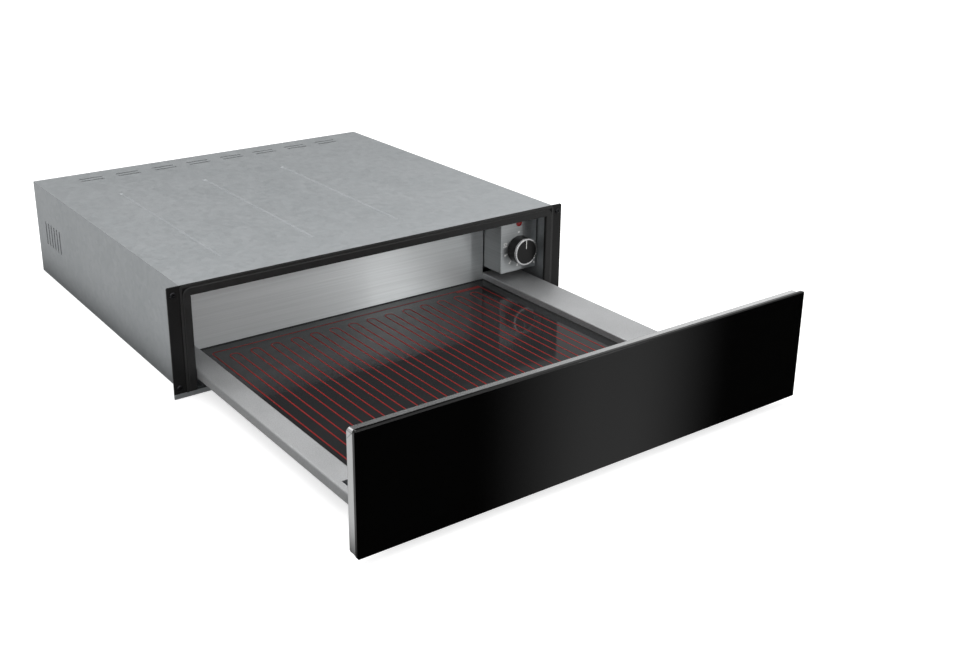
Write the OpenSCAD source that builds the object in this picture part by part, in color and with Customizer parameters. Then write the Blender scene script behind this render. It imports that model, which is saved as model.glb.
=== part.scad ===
// Built-in warming drawer for a 60 cm wide, 14 cm high kitchen niche, shown pulled open.
// X runs across the front, Y from the front to the back, Z up. The origin lies on the underside
// of the casing, in the middle of the plane of the front frame's back face.

/* [Casing] */
// Width of the casing over its side panels
casing_w = 556; // [552:1:562]
// Depth of the casing behind the front frame
casing_d = 535; // [520:1:560]
// Height of the casing, which is the height of the niche
casing_h = 140; // [138:1:146]
// Thickness of the casing's steel sheet
casing_t = 1; // [0.8:0.1:1.2]
// Height of the bare steel strip under the front frame
sill_h = 6; // [4:0.5:6.5]
// Height of the pressed stiffening beads
bead_h = 2; // [1:0.25:2.5]
// Width of one vent slot
vent_w = 4; // [3:0.5:5]
// Length of one vent slot
vent_l = 36; // [20:1:50]

/* [Front frame and seal] */
// Thickness of the black front frame
frame_t = 2; // [1.5:0.25:2.5]
// Height of the frame's top bar over the drawer opening
frame_top_h = 13.5; // [13.5:0.5:18]
// Radius of a fixing hole in the frame
fixing_r = 2.25; // [2:0.25:3]
// Distance of a fixing hole from the frame's side edge
fixing_inset = 7; // [5:0.5:8]
// Width of the rubber seal
seal_w = 10; // [8:0.5:10]
// Width of the frame's bars beside the drawer opening
frame_side_w = 28.5; // [27:0.25:31]
// How far the seal stands in front of the frame
seal_t = 2.4; // [1.8:0.2:3]
// Width of the plastic strip that holds the seal
carrier_w = 3; // [2:0.25:3.5]

/* [Drawer front] */
// Width of the drawer front
front_w = 595; // [592:1:598]
// Gap from the casing's underside up to the drawer front
front_gap = 9; // [7:0.5:10]
// Thickness of the black glass
front_glass_t = 4.4; // [4:0.2:6]
// Width of the bevel ground round the glass
bevel = 1.2; // [0.6:0.1:1.6]
// Radius of the glass corners
front_corner_r = 3; // [2:0.5:5]
// Depth of the folded steel frame behind the glass
backing_d = 10.4; // [9:0.2:14]
// Thickness of that frame's sheet
backing_t = 1.2; // [1:0.1:1.5]
// How far the frame stays below the top of the glass
backing_drop = 2.7; // [1:0.1:4]
// Thickness of the glue line between glass and frame
glue_t = 0.6; // [0.4:0.1:1]
// Width of the glue line
glue_w = 8; // [6:0.5:10]

/* [Tray] */
// Space between the tray and a side panel of the casing
side_space = 12.3; // [12:0.1:14]
// Space between the closed tray and the casing's back, for the latch and the wiring
rear_space = 62.6; // [50:0.2:80]
// Width of the left side rail
rail_left_w = 28; // [28:0.5:32]
// Gap between the tray's back wall and the control box
wall_gap = 1.3; // [1:0.1:3]
// Height of the rails' top face above the casing's underside
rail_top = 32.8; // [32:0.2:36]
// Height of a rail's outer lip
lip_h = 11.8; // [8:0.2:14]
// Depth of the glass plate below the rails' top face
glass_drop = 10.2; // [9:0.2:12]
// Thickness of the stainless and tray sheets
tray_t = 1; // [0.8:0.1:1.2]
// Outer bend radius of the rails and the back wall
bend_r = 1.8; // [1.5:0.1:2.2]
// Height of the back wall's top edge above the casing's underside
wall_top = 114; // [100:1:120]
// Depth of the back wall's folded edges
wall_return = 10; // [8:0.5:14]
// Length of the adjusting slot in the left rail
slot_l = 40; // [30:1:50]
// Width of the adjusting slot
slot_w = 9; // [7:0.5:10]
// Distance of the adjusting slot from the drawer front
slot_start = 40.6; // [30:0.2:50]

/* [Heating plate] */
// Thickness of the heated glass plate
plate_t = 4; // [3:0.5:5]
// Thickness of the heater mat
mat_t = 1.2; // [1:0.1:1.6]
// Thickness of the insulation board
board_t = 5; // [4:0.5:6]
// Width of one line of the heating track
track_w = 1.8; // [1.4:0.1:2.4]
// Thickness of the printed track
track_t = 0.2; // [0.15:0.05:0.3]
// Width of one U bend of the track, centre to centre
loop_w = 12.4; // [10:0.2:14]
// Distance from one U bend to the next
loop_pitch = 28.25; // [27:0.25:28.5]
// Distance of the outer line from the plate's left edge
track_inset = 15.8; // [12:0.2:16]
// Distance of the outer line from the plate's back edge
track_back = 19; // [16:0.5:24]
// Distance between the outer line and the first inner line
track_gap = 15.5; // [14:0.5:16]
// Length of the track's terminal bar
bar_l = 40; // [30:1:44]
// Width of the track's terminal bar
bar_w = 6.5; // [5:0.5:8]

/* [Runners] */
// Travel of the drawer from closed to fully open
travel = 402; // [380:1:405]
// Clearance between the seal and the closed drawer front
closed_gap = 0.4; // [0.3:0.1:0.8]
// Length of each runner member
runner_l = 420; // [410:1:440]
// Height of the fixed member of a runner
runner_h = 24; // [23:0.5:24]
// Depth of a whole runner, side to side
runner_depth = 12.3; // [12.3:0.1:12.8]
// Thickness of the runner members' steel
runner_t = 1.2; // [1:0.05:1.3]
// Radius of a ball in the outer rows
ball_r = 1.5; // [1.4:0.05:1.6]
// Clearance all round a ball in its race
ball_play = 0.3; // [0.2:0.05:0.35]
// Balls in one row of a cage
ball_count = 9; // [5:1:12]
// Spacing of the balls in a cage
ball_pitch = 16; // [12:1:18]
// Thickness of a cage's strip
cage_t = 0.5; // [0.4:0.05:0.6]

/* [Control box] */
// Width of the control box
box_w = 62.8; // [58:0.2:63]
// Gap between the control box and the casing's side panel
box_side_gap = 2.2; // [1:0.1:3]
// Distance of the control box behind the front frame
box_y = 28.6; // [24:0.2:40]
// Depth of the control box
box_d = 170; // [120:1:200]
// Gap between the rail covers and the control box
box_rise = 9.5; // [6:0.5:12]
// Centre of the knob below the casing's top
knob_drop = 65.4; // [60:0.2:68]
// Radius of the knob
knob_r = 19.5; // [17:0.25:20]
// Length of the knob
knob_l = 18; // [14:0.25:20]
// Radius of the thermostat shaft
shaft_r = 3; // [2.5:0.25:3.5]
// Radial running clearance of the shaft in its bush
shaft_play = 0.06; // [0.04:0.01:0.08]
// Radius of the indicator lamp's lens
lens_r = 5.25; // [4.5:0.25:6]
// Centre of the lamp above the centre of the knob
lens_rise = 38.4; // [34:0.2:42]

/* [Mains connection and latch] */
// Radius of the cable bore in the mains gland
gland_bore_r = 4; // [3:0.25:4.5]
// Outer radius of the gland's nut
gland_r = 9; // [8:0.25:10]
// Length of the gland
gland_l = 18; // [14:1:22]
// Radius of the touch latch's plunger
plunger_r = 6; // [5:0.25:7]
// Radial running clearance of the plunger
plunger_play = 0.08; // [0.05:0.01:0.1]
// Stroke of the touch latch's plunger
plunger_stroke = 4; // [3:0.5:5]

/* [Hidden] */
$fn = 48;
eps = 0.01;

// Small clearances that seat one piece beside another
slide_gap = 0.3;
fit_gap = 0.2;
side_play = 0.8;

// Casing
casing_x = casing_w / 2;
inner_x = casing_x - casing_t;
roof_z = casing_h - casing_t;
back_y = casing_d - casing_t;
bead_r = 6;
bead_inset = 70;
bead_y = [bead_inset, casing_d - 2 * bead_inset];
bead_xs = [-195, -65, 65];

// Control box, from side to side
box_right_x = inner_x - box_side_gap;
box_left_x = box_right_x - box_w;

// Front frame
tray_x = inner_x - side_space;
opening_x = tray_x + side_play;
frame_x = opening_x + frame_side_w;
opening_z = casing_h - frame_top_h;
carrier_x = opening_x + seal_w;
seal_round = 1.1;
fixing_z_low = sill_h + 7.5;
fixing_z_high = casing_h - 9.5;

// Places along Y with the drawer pulled open
front_back_y = -(frame_t + seal_t + closed_gap + travel);
backing_y = front_back_y - backing_d;
glue_y = backing_y - glue_t;
glass_y = glue_y - front_glass_t;
front_top_z = casing_h;
backing_x = front_w / 2 - 0.5;
backing_top_z = front_top_z - backing_drop;
backing_corner_r = 4;
return_w = 12;

// Tray
rail_left_x = -tray_x + rail_left_w;
rail_right_x = box_left_x - wall_gap;
pan_back_y = casing_d - rear_space - travel;
wall_y = pan_back_y - 2 * tray_t;
tray_l = wall_y - front_back_y;
cover_under = rail_top - tray_t;
pan_top = cover_under - (bend_r - tray_t);
plate_top = rail_top - glass_drop;
plate_z = plate_top - plate_t;
mat_z = plate_z - mat_t;
board_z = mat_z - board_t;
pan_z = board_z - tray_t;
plate_left_x = rail_left_x - tray_t + slide_gap;
plate_right_x = rail_right_x + tray_t - slide_gap;
plate_front_y = front_back_y + tray_t + slide_gap;
plate_back_y = wall_y + tray_t - slide_gap;
support_x = rail_right_x + tray_t;

// Track
track_r = track_w / 2;
track_left_x = plate_left_x + track_inset;
track_back_y = plate_back_y - track_back;
track_front_y = plate_front_y + track_back;
track_corner_r = 5;
loop_r = loop_w / 2;
loop_gap_r = (loop_pitch - loop_w) / 2;
track_span = plate_right_x - track_inset - track_left_x - 2 * track_gap;
loop_count = floor((track_span + loop_pitch - loop_w) / loop_pitch);
loop_first_x = track_left_x + track_gap;
loop_last_x = loop_first_x + (loop_count - 1) * loop_pitch + loop_w;
track_right_x = loop_last_x + track_gap;
loop_back_y = track_back_y - track_gap;
loop_front_y = track_front_y + track_gap;

// Runners: u is measured from the fixed member's outer face towards the tray
pan_x = -rail_left_x + 2 * tray_t;
runner_x = pan_x + runner_depth;
runner_half = runner_h / 2;
runner_z = cover_under - 0.8 - runner_half;
runner_y = 12;
drawer_runner_y = runner_y - travel;
middle_runner_y = runner_y - travel / 2;
race_r = ball_r + ball_play;
outer_race_z = runner_half - runner_t - ball_r;
outer_race_u = 5.2;
middle_half = outer_race_z - ball_r;
inner_ball_r = ball_r - 0.3;
inner_race_r = inner_ball_r + ball_play;
middle_flange_t = runner_t + ball_play;
inner_race_z = middle_half - middle_flange_t - inner_ball_r;
inner_race_u = 7.6;
drawer_half = inner_race_z - inner_ball_r;
middle_u = 2.3;
middle_mouth_u = runner_depth - runner_t - 0.6;
cage_l = ball_pitch * ball_count;
cage_inset = 24;
outer_cage_y = runner_y + cage_inset;
inner_cage_y = drawer_runner_y + runner_l - cage_l - cage_inset;
bracket_t = 1.5;
bracket_foot = 12;
window_l = 30;
window_h = 6;
tie_w = 9;
tie_l = 56;

// Control box
box_z = rail_top + box_rise;
box_h = roof_z - box_z;
box_t = 1;
knob_x = box_left_x + box_w / 2;
knob_z = casing_h - knob_drop;
knob_gap = 0.6;
knob_back_y = box_y - knob_gap;
knob_front_y = knob_back_y - knob_l;
ring_w = 2.2;
ring_l = 3;
face_recess = 0.7;
pointer_w = 1;
pointer_l = 13;
bush_r = shaft_r + 2.2;
lens_z = knob_z + lens_rise;
lens_stem = 14;
lens_rim = 0.4;
lens_crown = 1.6;
lens_cap_r = lens_r + fit_gap;
lens_dome_r = (lens_cap_r * lens_cap_r + lens_crown * lens_crown) / (2 * lens_crown);
lens_front_y = box_y - lens_rim - lens_crown;
thermostat_w = 40;
thermostat_h = 34;
thermostat_d = 32;

// Mains connection and latch
gland_x = 190;
gland_z = 78;
lead_room = 38;
terminal_w = 44;
terminal_x = gland_x - lead_room - terminal_w / 2;
terminal_h = 24;
terminal_d = 16;
striker_t = 4;
latch_w = 44;
latch_h = 32;
latch_z = (pan_z + rail_top) / 2;
latch_front_y = pan_back_y + striker_t + travel + slide_gap + plunger_stroke;
latch_back_y = back_y;
cutout_r = 8;
cutout_t = 4;
cutout_y = front_back_y + tray_l / 2;

// ---- Helpers ----

// A block between two values on each axis
module block(x, y, z) {
  translate([x[0], y[0], z[0]]) cube([x[1] - x[0], y[1] - y[0], z[1] - z[0]]);
}

// A drawing in X and Z, carried along Y
module along_y(y) {
  translate([0, y[1], 0]) rotate([90, 0, 0]) linear_extrude(y[1] - y[0]) children();
}

// A drawing in Y and Z, carried along X
module along_x(x) {
  translate([x[0], 0, 0]) rotate([90, 0, 90]) linear_extrude(x[1] - x[0]) children();
}

// A round bar along Y
module rod_y(x, z, r, y) {
  translate([x, y[0], z]) rotate([-90, 0, 0]) cylinder(h = y[1] - y[0], r = r);
}

// A rectangle in the drawing plane
module area(x, z) {
  translate([x[0], z[0]]) square([x[1] - x[0], z[1] - z[0]]);
}

// A rectangle with four round corners
module round_area(x, z, r) {
  area([x[0] + r, x[1] - r], z);
  area(x, [z[0] + r, z[1] - r]);
  for (cx = [x[0] + r, x[1] - r], cz = [z[0] + r, z[1] - r]) translate([cx, cz]) circle(r);
}

// A rectangle whose two upper corners are round
module top_round_area(x, z, r) {
  area([x[0] + r, x[1] - r], z);
  area(x, [z[0], z[1] - r]);
  for (cx = [x[0] + r, x[1] - r]) translate([cx, z[1] - r]) circle(r);
}

// A slot with round ends along X, cut through Z
module slot_x(c, l, w, z) {
  for (s = [-1, 1]) {
    translate([c[0] + s * (l - w) / 2, c[1], z[0]]) cylinder(h = z[1] - z[0], r = w / 2);
  }
  block([c[0] - (l - w) / 2, c[0] + (l - w) / 2], [c[1] - w / 2, c[1] + w / 2], z);
}

// A slot with round ends along Z, cut through X or Y
module slot_z(c, l, w, h) {
  for (s = [-1, 1]) translate([c[0], c[1] + s * (l - w) / 2, 0]) cylinder(h = h, r = w / 2);
  translate([c[0] - w / 2, c[1] - (l - w) / 2, 0]) cube([w, l - w, h]);
}

// The solid that a round-ended bead fills, along Y
module bead_bar(x, y, z, r) {
  rod_y(x, z, r, y);
  for (end = y) translate([x, end, z]) sphere(r);
}

// Puts a piece made for the left side on the right one
module right_side() {
  mirror([1, 0, 0]) children();
}

// ---- Casing ----

// A flat panel with stiffening beads pressed up into it from below
module beaded_panel(x, y) {
  difference() {
    union() {
      block(x, y, [0, casing_t]);
      intersection() {
        for (bead_x = bead_xs) {
          bead_bar(bead_x, bead_y, casing_t + bead_h - bead_r, bead_r);
        }
        block(x, y, [0, casing_t + bead_h]);
      }
    }
    for (bead_x = bead_xs) bead_bar(bead_x, bead_y, bead_h - bead_r, bead_r - casing_t);
  }
}

module base_pan() {
  color("silver") {
    beaded_panel([-inner_x, inner_x], [-frame_t, casing_d]);
    block([-frame_x, frame_x], [-frame_t, 0], [0, sill_h]);
  }
}

module side_panel() {
  color("gainsboro") difference() {
    block([-casing_x, -inner_x], [0, casing_d], [0, roof_z]);
    for (i = [0:5]) {
      translate([-casing_x - eps, 0, 0]) rotate([90, 0, 90])
        slot_z([casing_d - 40 - i * 3 * vent_w, casing_h / 2], vent_l, vent_w, casing_t + 2 * eps);
    }
  }
}

module top_panel() {
  color("gainsboro") difference() {
    translate([0, 0, casing_h]) mirror([0, 0, 1])
      beaded_panel([-casing_x, casing_x], [0, casing_d]);
    for (x = [-3.5:1:3.5], row = [0, 1]) {
      slot_x([x * 1.6 * vent_l, casing_d - 30 - row * 3 * vent_w], vent_l, vent_w,
             [roof_z - eps, casing_h + eps]);
    }
  }
}

module back_panel() {
  color("gainsboro") difference() {
    block([-inner_x, inner_x], [back_y, casing_d], [casing_t, roof_z]);
    for (i = [0:9]) {
      translate([0, casing_d + eps, 0]) rotate([90, 0, 0])
        slot_z([(i - 12) * 3 * vent_w, casing_h * 0.64], vent_l, vent_w, casing_t + 2 * eps);
    }
    rod_y(gland_x, gland_z, gland_r - 2.5, [back_y - eps, casing_d + eps]);
  }
}

module front_frame() {
  color("black") difference() {
    along_y([-frame_t, 0]) difference() {
      top_round_area([-frame_x, frame_x], [sill_h, casing_h], 2);
      area([-opening_x, opening_x], [sill_h - eps, opening_z]);
    }
    for (s = [-1, 1], z = [fixing_z_low, fixing_z_high]) {
      rod_y(s * (frame_x - fixing_inset), z, fixing_r, [-frame_t - eps, eps]);
    }
  }
}

// U-shaped plastic strip round the seal, with a fine groove towards the frame
module seal_carrier() {
  outer_x = carrier_x + carrier_w;
  outer_z = opening_z + seal_w + carrier_w;
  color("dimgray") along_y([-frame_t - seal_t / 2, -frame_t]) difference() {
    top_round_area([-outer_x, outer_x], [sill_h, outer_z], carrier_w);
    area([-carrier_x - slide_gap / 2, carrier_x + slide_gap / 2],
         [sill_h - eps, opening_z + seal_w + slide_gap / 2]);
  }
}

// Cross-section of the seal, with its two front edges rounded
module seal_section() {
  difference() {
    area([0, seal_w], [0, seal_t]);
    for (x = [0, seal_w - seal_round]) area([x, x + seal_round], [seal_t - seal_round, seal_t]);
  }
  for (x = [seal_round, seal_w - seal_round]) translate([x, seal_t - seal_round]) circle(seal_round);
}

module door_seal() {
  color("black") translate([0, -frame_t, 0]) {
    for (s = [0, 1]) mirror([s, 0, 0]) {
      translate([-opening_x, 0, sill_h + 1]) rotate([0, 0, 180]) linear_extrude(opening_z - sill_h - 1)
        seal_section();
      translate([-opening_x, 0, opening_z]) rotate([90, 0, 0]) rotate([0, 0, 90])
        rotate_extrude(angle = 90) seal_section();
    }
    translate([-opening_x, 0, opening_z]) rotate([90, 0, 90]) mirror([1, 0, 0]) rotate([0, 0, 90])
      mirror([0, 1, 0]) linear_extrude(2 * opening_x) seal_section();
  }
}

// ---- Control box ----

// Folded sheet box, open to the casing's top panel, with holes for the thermostat and the lamp
module control_box() {
  color("silver") along_y([box_y, box_y + box_d]) difference() {
    round_area([box_left_x, box_right_x], [box_z, roof_z + bend_r], bend_r);
    area([box_left_x + box_t, box_right_x - box_t], [box_z + box_t, roof_z + 2 * bend_r]);
    area([box_left_x - eps, box_right_x + eps], [roof_z, roof_z + 2 * bend_r]);
  }
  color("silver") difference() {
    block([box_left_x + box_t, box_right_x - box_t], [box_y, box_y + box_t], [box_z + box_t, roof_z]);
    rod_y(knob_x, knob_z, bush_r + fit_gap, [box_y - eps, box_y + box_t + eps]);
    rod_y(knob_x, lens_z, lens_r - 1, [box_y - eps, box_y + box_t + eps]);
  }
}

module control_box_cover() {
  y = box_y + box_d;
  color("silver") difference() {
    block([box_left_x, box_right_x], [y, y + box_t], [box_z, roof_z]);
    rod_y(knob_x, box_z + box_h / 2, 8, [y - eps, y + box_t + eps]);
  }
}

// Domed red lens with a stem that passes through the control box
module indicator_lens() {
  color("red") {
    intersection() {
      translate([knob_x, lens_front_y + lens_dome_r, lens_z]) sphere(lens_dome_r);
      rod_y(knob_x, lens_z, lens_r, [lens_front_y - eps, box_y]);
    }
    rod_y(knob_x, lens_z, lens_r - 1 - fit_gap, [box_y, box_y + lens_stem]);
  }
}

module thermostat_body() {
  y = box_y + box_t;
  color("tan") difference() {
    union() {
      block([knob_x - thermostat_w / 2, knob_x + thermostat_w / 2], [y, y + thermostat_d],
            [knob_z - thermostat_h / 2, knob_z + thermostat_h / 2]);
      rod_y(knob_x, knob_z, bush_r, [box_y - 0.2, y]);
    }
    rod_y(knob_x, knob_z, shaft_r + shaft_play, [box_y - 1, y + 12]);
  }
}

module thermostat_shaft() {
  color("darkgray") rod_y(knob_x, knob_z, shaft_r, [knob_back_y - knob_l / 2, box_y + box_t + 11]);
}

// Knob skirt and core: a hollow cap with a boss round the shaft
module knob_body() {
  color("black") difference() {
    union() {
      rod_y(knob_x, knob_z, knob_r, [knob_front_y + ring_l, knob_back_y]);
      rod_y(knob_x, knob_z, knob_r - ring_w, [knob_front_y + face_recess, knob_front_y + ring_l]);
    }
    difference() {
      rod_y(knob_x, knob_z, knob_r - 2, [knob_front_y + 5, knob_back_y + eps]);
      rod_y(knob_x, knob_z, shaft_r + 3, [knob_front_y + 5 - eps, knob_back_y + 1]);
    }
    rod_y(knob_x, knob_z, shaft_r, [knob_back_y - knob_l / 2, knob_back_y + 1]);
    translate([knob_x - pointer_w / 2, knob_front_y, knob_z + knob_r - ring_w - pointer_l])
      cube([pointer_w, face_recess + 0.5, pointer_l + eps]);
  }
}

// Bright ring round the knob's front face
module knob_ring() {
  color("white") translate([knob_x, knob_front_y, knob_z]) rotate([-90, 0, 0]) rotate_extrude()
    difference() {
      area([knob_r - ring_w, knob_r], [0, ring_l]);
      difference() {
        area([knob_r - 0.6, knob_r + eps], [-eps, 0.6]);
        translate([knob_r - 0.6, 0.6]) circle(0.6);
      }
    }
}

module knob_pointer() {
  color("white") intersection() {
    translate([knob_x - pointer_w / 2, knob_front_y + face_recess, knob_z + knob_r - ring_w - pointer_l])
      cube([pointer_w, 0.5, pointer_l]);
    rod_y(knob_x, knob_z, knob_r - ring_w, [knob_front_y, knob_front_y + ring_l]);
  }
}

// ---- Drawer front ----

// Glass with a bevel ground along its four front edges
module front_glass() {
  half = front_w / 2;
  color("black") intersection() {
    along_y([glass_y, glue_y]) round_area([-half, half], [front_gap, front_top_z], front_corner_r);
    along_x([-half, half]) polygon([
      [glass_y + bevel, front_gap], [glue_y, front_gap], [glue_y, front_top_z],
      [glass_y + bevel, front_top_z], [glass_y, front_top_z - bevel], [glass_y, front_gap + bevel]
    ]);
    translate([0, 0, front_gap]) linear_extrude(front_top_z - front_gap) polygon([
      [-half, glass_y + bevel], [-half + bevel, glass_y], [half - bevel, glass_y],
      [half, glass_y + bevel], [half, glue_y], [-half, glue_y]
    ]);
  }
}

module glue_line() {
  x = backing_x - backing_corner_r / 2;
  low = front_gap + backing_corner_r / 2;
  high = backing_top_z - backing_corner_r / 2;
  color("dimgray") along_y([glue_y, backing_y]) difference() {
    area([-x, x], [low, high]);
    area([-x + glue_w, x - glue_w], [low + glue_w, high - glue_w]);
  }
}

// Folded steel frame: a shallow box with its edges returned behind the glass
module front_backing() {
  x = backing_x;
  color("silver") difference() {
    along_y([backing_y, front_back_y])
      round_area([-x, x], [front_gap, backing_top_z], backing_corner_r);
    along_y([backing_y + backing_t, front_back_y - backing_t])
      area([-x + backing_t, x - backing_t], [front_gap + backing_t, backing_top_z - backing_t]);
    along_y([backing_y - eps, backing_y + backing_t + eps])
      area([-x + return_w, x - return_w], [front_gap + return_w, backing_top_z - return_w]);
  }
}

// Angle that ties the drawer front to a side rail
module front_tie() {
  x = [-tray_x + tray_t + 1, -tray_x + tray_t + 1 + tie_w];
  color("silver") {
    block(x, [front_back_y, front_back_y + tie_l], [cover_under - bracket_t, cover_under]);
    block(x, [front_back_y, front_back_y + bracket_t], [rail_top - lip_h + 1, cover_under]);
  }
}

// ---- Tray ----

// Open pan under the glass: its end walls are notched for the inner edges of the rail covers
module tray_pan() {
  color("lightgray") {
    block([-pan_x, pan_x], [front_back_y, pan_back_y], [pan_z, pan_z + tray_t]);
    for (s = [0, 1]) mirror([s, 0, 0])
      block([-pan_x, -pan_x + tray_t], [front_back_y, pan_back_y], [pan_z, pan_top]);
    for (y = [front_back_y, pan_back_y - tray_t]) difference() {
      block([-pan_x, pan_x], [y, y + tray_t], [pan_z, pan_top]);
      for (x = [rail_left_x - tray_t, rail_right_x])
        block([x - fit_gap, x + tray_t + fit_gap], [y - eps, y + tray_t + eps],
              [plate_top - fit_gap, pan_top + eps]);
    }
    block([support_x, support_x + tray_t], [front_back_y, pan_back_y], [pan_z, pan_top]);
  }
}

// Folded cover over a side rail: top face, outer lip and inner edge that stands on the glass
module rail_cover(x, outer_leg, inner_leg) {
  color("lightgray") along_y([front_back_y, pan_back_y]) difference() {
    top_round_area(x, [rail_top - outer_leg, rail_top], bend_r);
    area([x[0] + tray_t, x[1] - tray_t], [rail_top - outer_leg - eps, cover_under - bend_r + tray_t]);
    top_round_area([x[0] + tray_t, x[1] - tray_t],
                   [rail_top - outer_leg - eps, cover_under], bend_r - tray_t);
    area([x[1] - tray_t - eps, x[1] + eps], [rail_top - outer_leg - eps, rail_top - inner_leg]);
  }
}

module rail_cover_left() {
  difference() {
    rail_cover([-tray_x, rail_left_x], lip_h, glass_drop);
    block([-tray_x + 7.5, -tray_x + 7.5 + slot_w],
          [front_back_y + slot_start, front_back_y + slot_start + slot_l],
          [cover_under - eps, rail_top + eps]);
  }
}

module rail_cover_right() {
  right_side() rail_cover([-tray_x, -rail_right_x], lip_h, glass_drop);
}

// Brushed wall across the back of the tray, with its top and ends folded back
module back_wall() {
  color("lightgray") difference() {
    along_x([rail_left_x, rail_right_x]) intersection() {
      round_area([wall_y, wall_y + 2 * wall_return], [plate_top - bend_r, wall_top], bend_r);
      area([wall_y, wall_y + wall_return], [plate_top, wall_top]);
    }
    block([rail_left_x + tray_t, rail_right_x - tray_t], [wall_y + tray_t, wall_y + 2 * wall_return],
          [plate_top - eps, wall_top - tray_t]);
    block([rail_left_x - eps, rail_right_x + eps], [wall_y + tray_t, wall_y + wall_return + eps],
          [plate_top - eps, rail_top + slide_gap]);
  }
}

module heating_plate() {
  color("darkslategray")
    block([plate_left_x, plate_right_x], [plate_front_y, plate_back_y], [plate_z, plate_top]);
}

// Half of a ring: side 1 bulges towards the back, side -1 towards the front
module track_bend(c, r, side) {
  intersection() {
    translate(c) difference() {
      circle(r + track_r);
      circle(r - track_r);
    }
    area([c[0] - r - track_w, c[0] + r + track_w],
         side > 0 ? [c[1], c[1] + r + track_w] : [c[1] - r - track_w, c[1]]);
  }
}

// A quarter of a ring that turns the outer line round the corner (sx, sy)
module track_corner(c, r, sx, sy) {
  intersection() {
    translate(c) difference() {
      circle(r + track_r);
      circle(r - track_r);
    }
    area(sx > 0 ? [c[0], c[0] + r + track_w] : [c[0] - r - track_w, c[0]],
         sy > 0 ? [c[1], c[1] + r + track_w] : [c[1] - r - track_w, c[1]]);
  }
}

// Straight line along Y, with square ends exactly at a and b
module track_run(x, a, b) {
  area([x - track_r, x + track_r], [a, b]);
}

// One heating line: down the left, to and fro in U bends, and back up the right to its terminals
module heating_track() {
  r = track_corner_r;
  end_r = track_gap / 2;
  bends_back = loop_back_y - loop_r;
  bends_front = loop_front_y + loop_gap_r;
  color("firebrick") translate([0, 0, plate_top]) linear_extrude(track_t) {
    track_run(track_left_x, bends_front, track_back_y - r);
    track_corner([track_left_x + r, track_back_y - r], r, -1, 1);
    area([track_left_x + r, track_right_x - bar_l + track_r],
         [track_back_y - track_r, track_back_y + track_r]);
    for (side = [0, 1]) {
      area([track_right_x - bar_l + side * (bar_l / 2 + 0.5),
            track_right_x - bar_l / 2 - 0.5 + side * (bar_l / 2 + 0.5 + track_r)],
           [track_back_y + track_r - bar_w, track_back_y + track_r]);
    }
    track_run(track_right_x, bends_front, track_back_y + track_r - bar_w);
    for (x = [track_left_x + end_r, track_right_x - end_r]) track_bend([x, bends_front], end_r, -1);
    for (i = [0:loop_count - 1]) {
      x = loop_first_x + i * loop_pitch;
      track_run(x, bends_front, bends_back);
      track_run(x + loop_w, bends_front, bends_back);
      track_bend([x + loop_r, bends_back], loop_r, 1);
      if (i < loop_count - 1) track_bend([x + loop_w + loop_gap_r, bends_front], loop_gap_r, -1);
    }
  }
}

module heater_mat() {
  color("darkorange") block([plate_left_x + 6, plate_right_x - 6],
                            [plate_front_y + 8, plate_back_y - 8], [mat_z, plate_z]);
}

module insulation_board() {
  color("beige") block([plate_left_x, support_x - slide_gap], [plate_front_y, plate_back_y],
                       [board_z, mat_z]);
}

// Round safety thermostat under the tray
module thermal_cutout() {
  color("tan") {
    translate([0, cutout_y, pan_z - cutout_t]) cylinder(h = cutout_t, r = cutout_r);
    block([-cutout_r - 6, cutout_r + 6], [cutout_y - 4, cutout_y + 4], [pan_z - 1, pan_z]);
  }
}

module latch_striker() {
  color("gray") block([-latch_w / 2 + 6, latch_w / 2 - 6], [pan_back_y, pan_back_y + striker_t],
                      [pan_z + 1, cover_under]);
}

// ---- Runners ----

// Draws a runner section: u from the fixed member inwards, v up from the middle
module runner_frame(y) {
  along_y([y, y + runner_l]) translate([-runner_x, runner_z]) children();
}

// Two round ball races, above and below the middle
module race_pair(u, v, r) {
  for (s = [-1, 1]) translate([u, s * v]) circle(r);
}

// Channel section with its mouth towards the tray, cut by the given ball races
module channel(u, half, web, flange) {
  difference() {
    area(u, [-half, half]);
    area([u[0] + web, u[1] + eps], [-half + flange, half - flange]);
  }
}

module cabinet_section() {
  mouth_u = outer_race_u + 4.2;
  lip = 1.2;
  difference() {
    channel([0, mouth_u], runner_half, runner_t, runner_t + lip);
    for (s = [-1, 1]) {
      v = s * (runner_half - runner_t - lip / 2);
      area([runner_t, mouth_u - lip], [v - lip / 2 - (s < 0 ? 0 : eps), v + lip / 2 + (s < 0 ? eps : 0)]);
    }
    race_pair(outer_race_u, outer_race_z, race_r);
  }
}

module middle_section() {
  difference() {
    channel([middle_u, middle_mouth_u], middle_half, runner_t, middle_flange_t);
    race_pair(outer_race_u, outer_race_z, race_r);
    race_pair(inner_race_u, inner_race_z, inner_race_r);
  }
}

// The drawer member's mouth faces the fixed member, and its web stands taller than its flanges
module drawer_section() {
  back_u = runner_depth - runner_t;
  web_half = drawer_half + 3;
  difference() {
    area([inner_race_u - 1.9, runner_depth], [-web_half, web_half]);
    area([inner_race_u - 1.9 - eps, back_u],
         [-drawer_half + middle_flange_t, drawer_half - middle_flange_t]);
    for (v = [-web_half - eps, drawer_half]) area([inner_race_u - 2, back_u], [v, v + 3 + eps]);
    race_pair(inner_race_u, inner_race_z, inner_race_r);
  }
}

// Fixing holes and slots along a member's web
module web_holes(y, u) {
  for (k = [0.06, 0.3, 0.5, 0.72, 0.94]) {
    translate([-runner_x + u - eps, y + k * runner_l, runner_z]) rotate([0, 90, 0])
      cylinder(h = runner_t + 2 * eps, r = 2.2);
  }
}

module cabinet_runner() {
  color("lightsteelblue") difference() {
    runner_frame(runner_y) cabinet_section();
    web_holes(runner_y, 0);
  }
}

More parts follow.
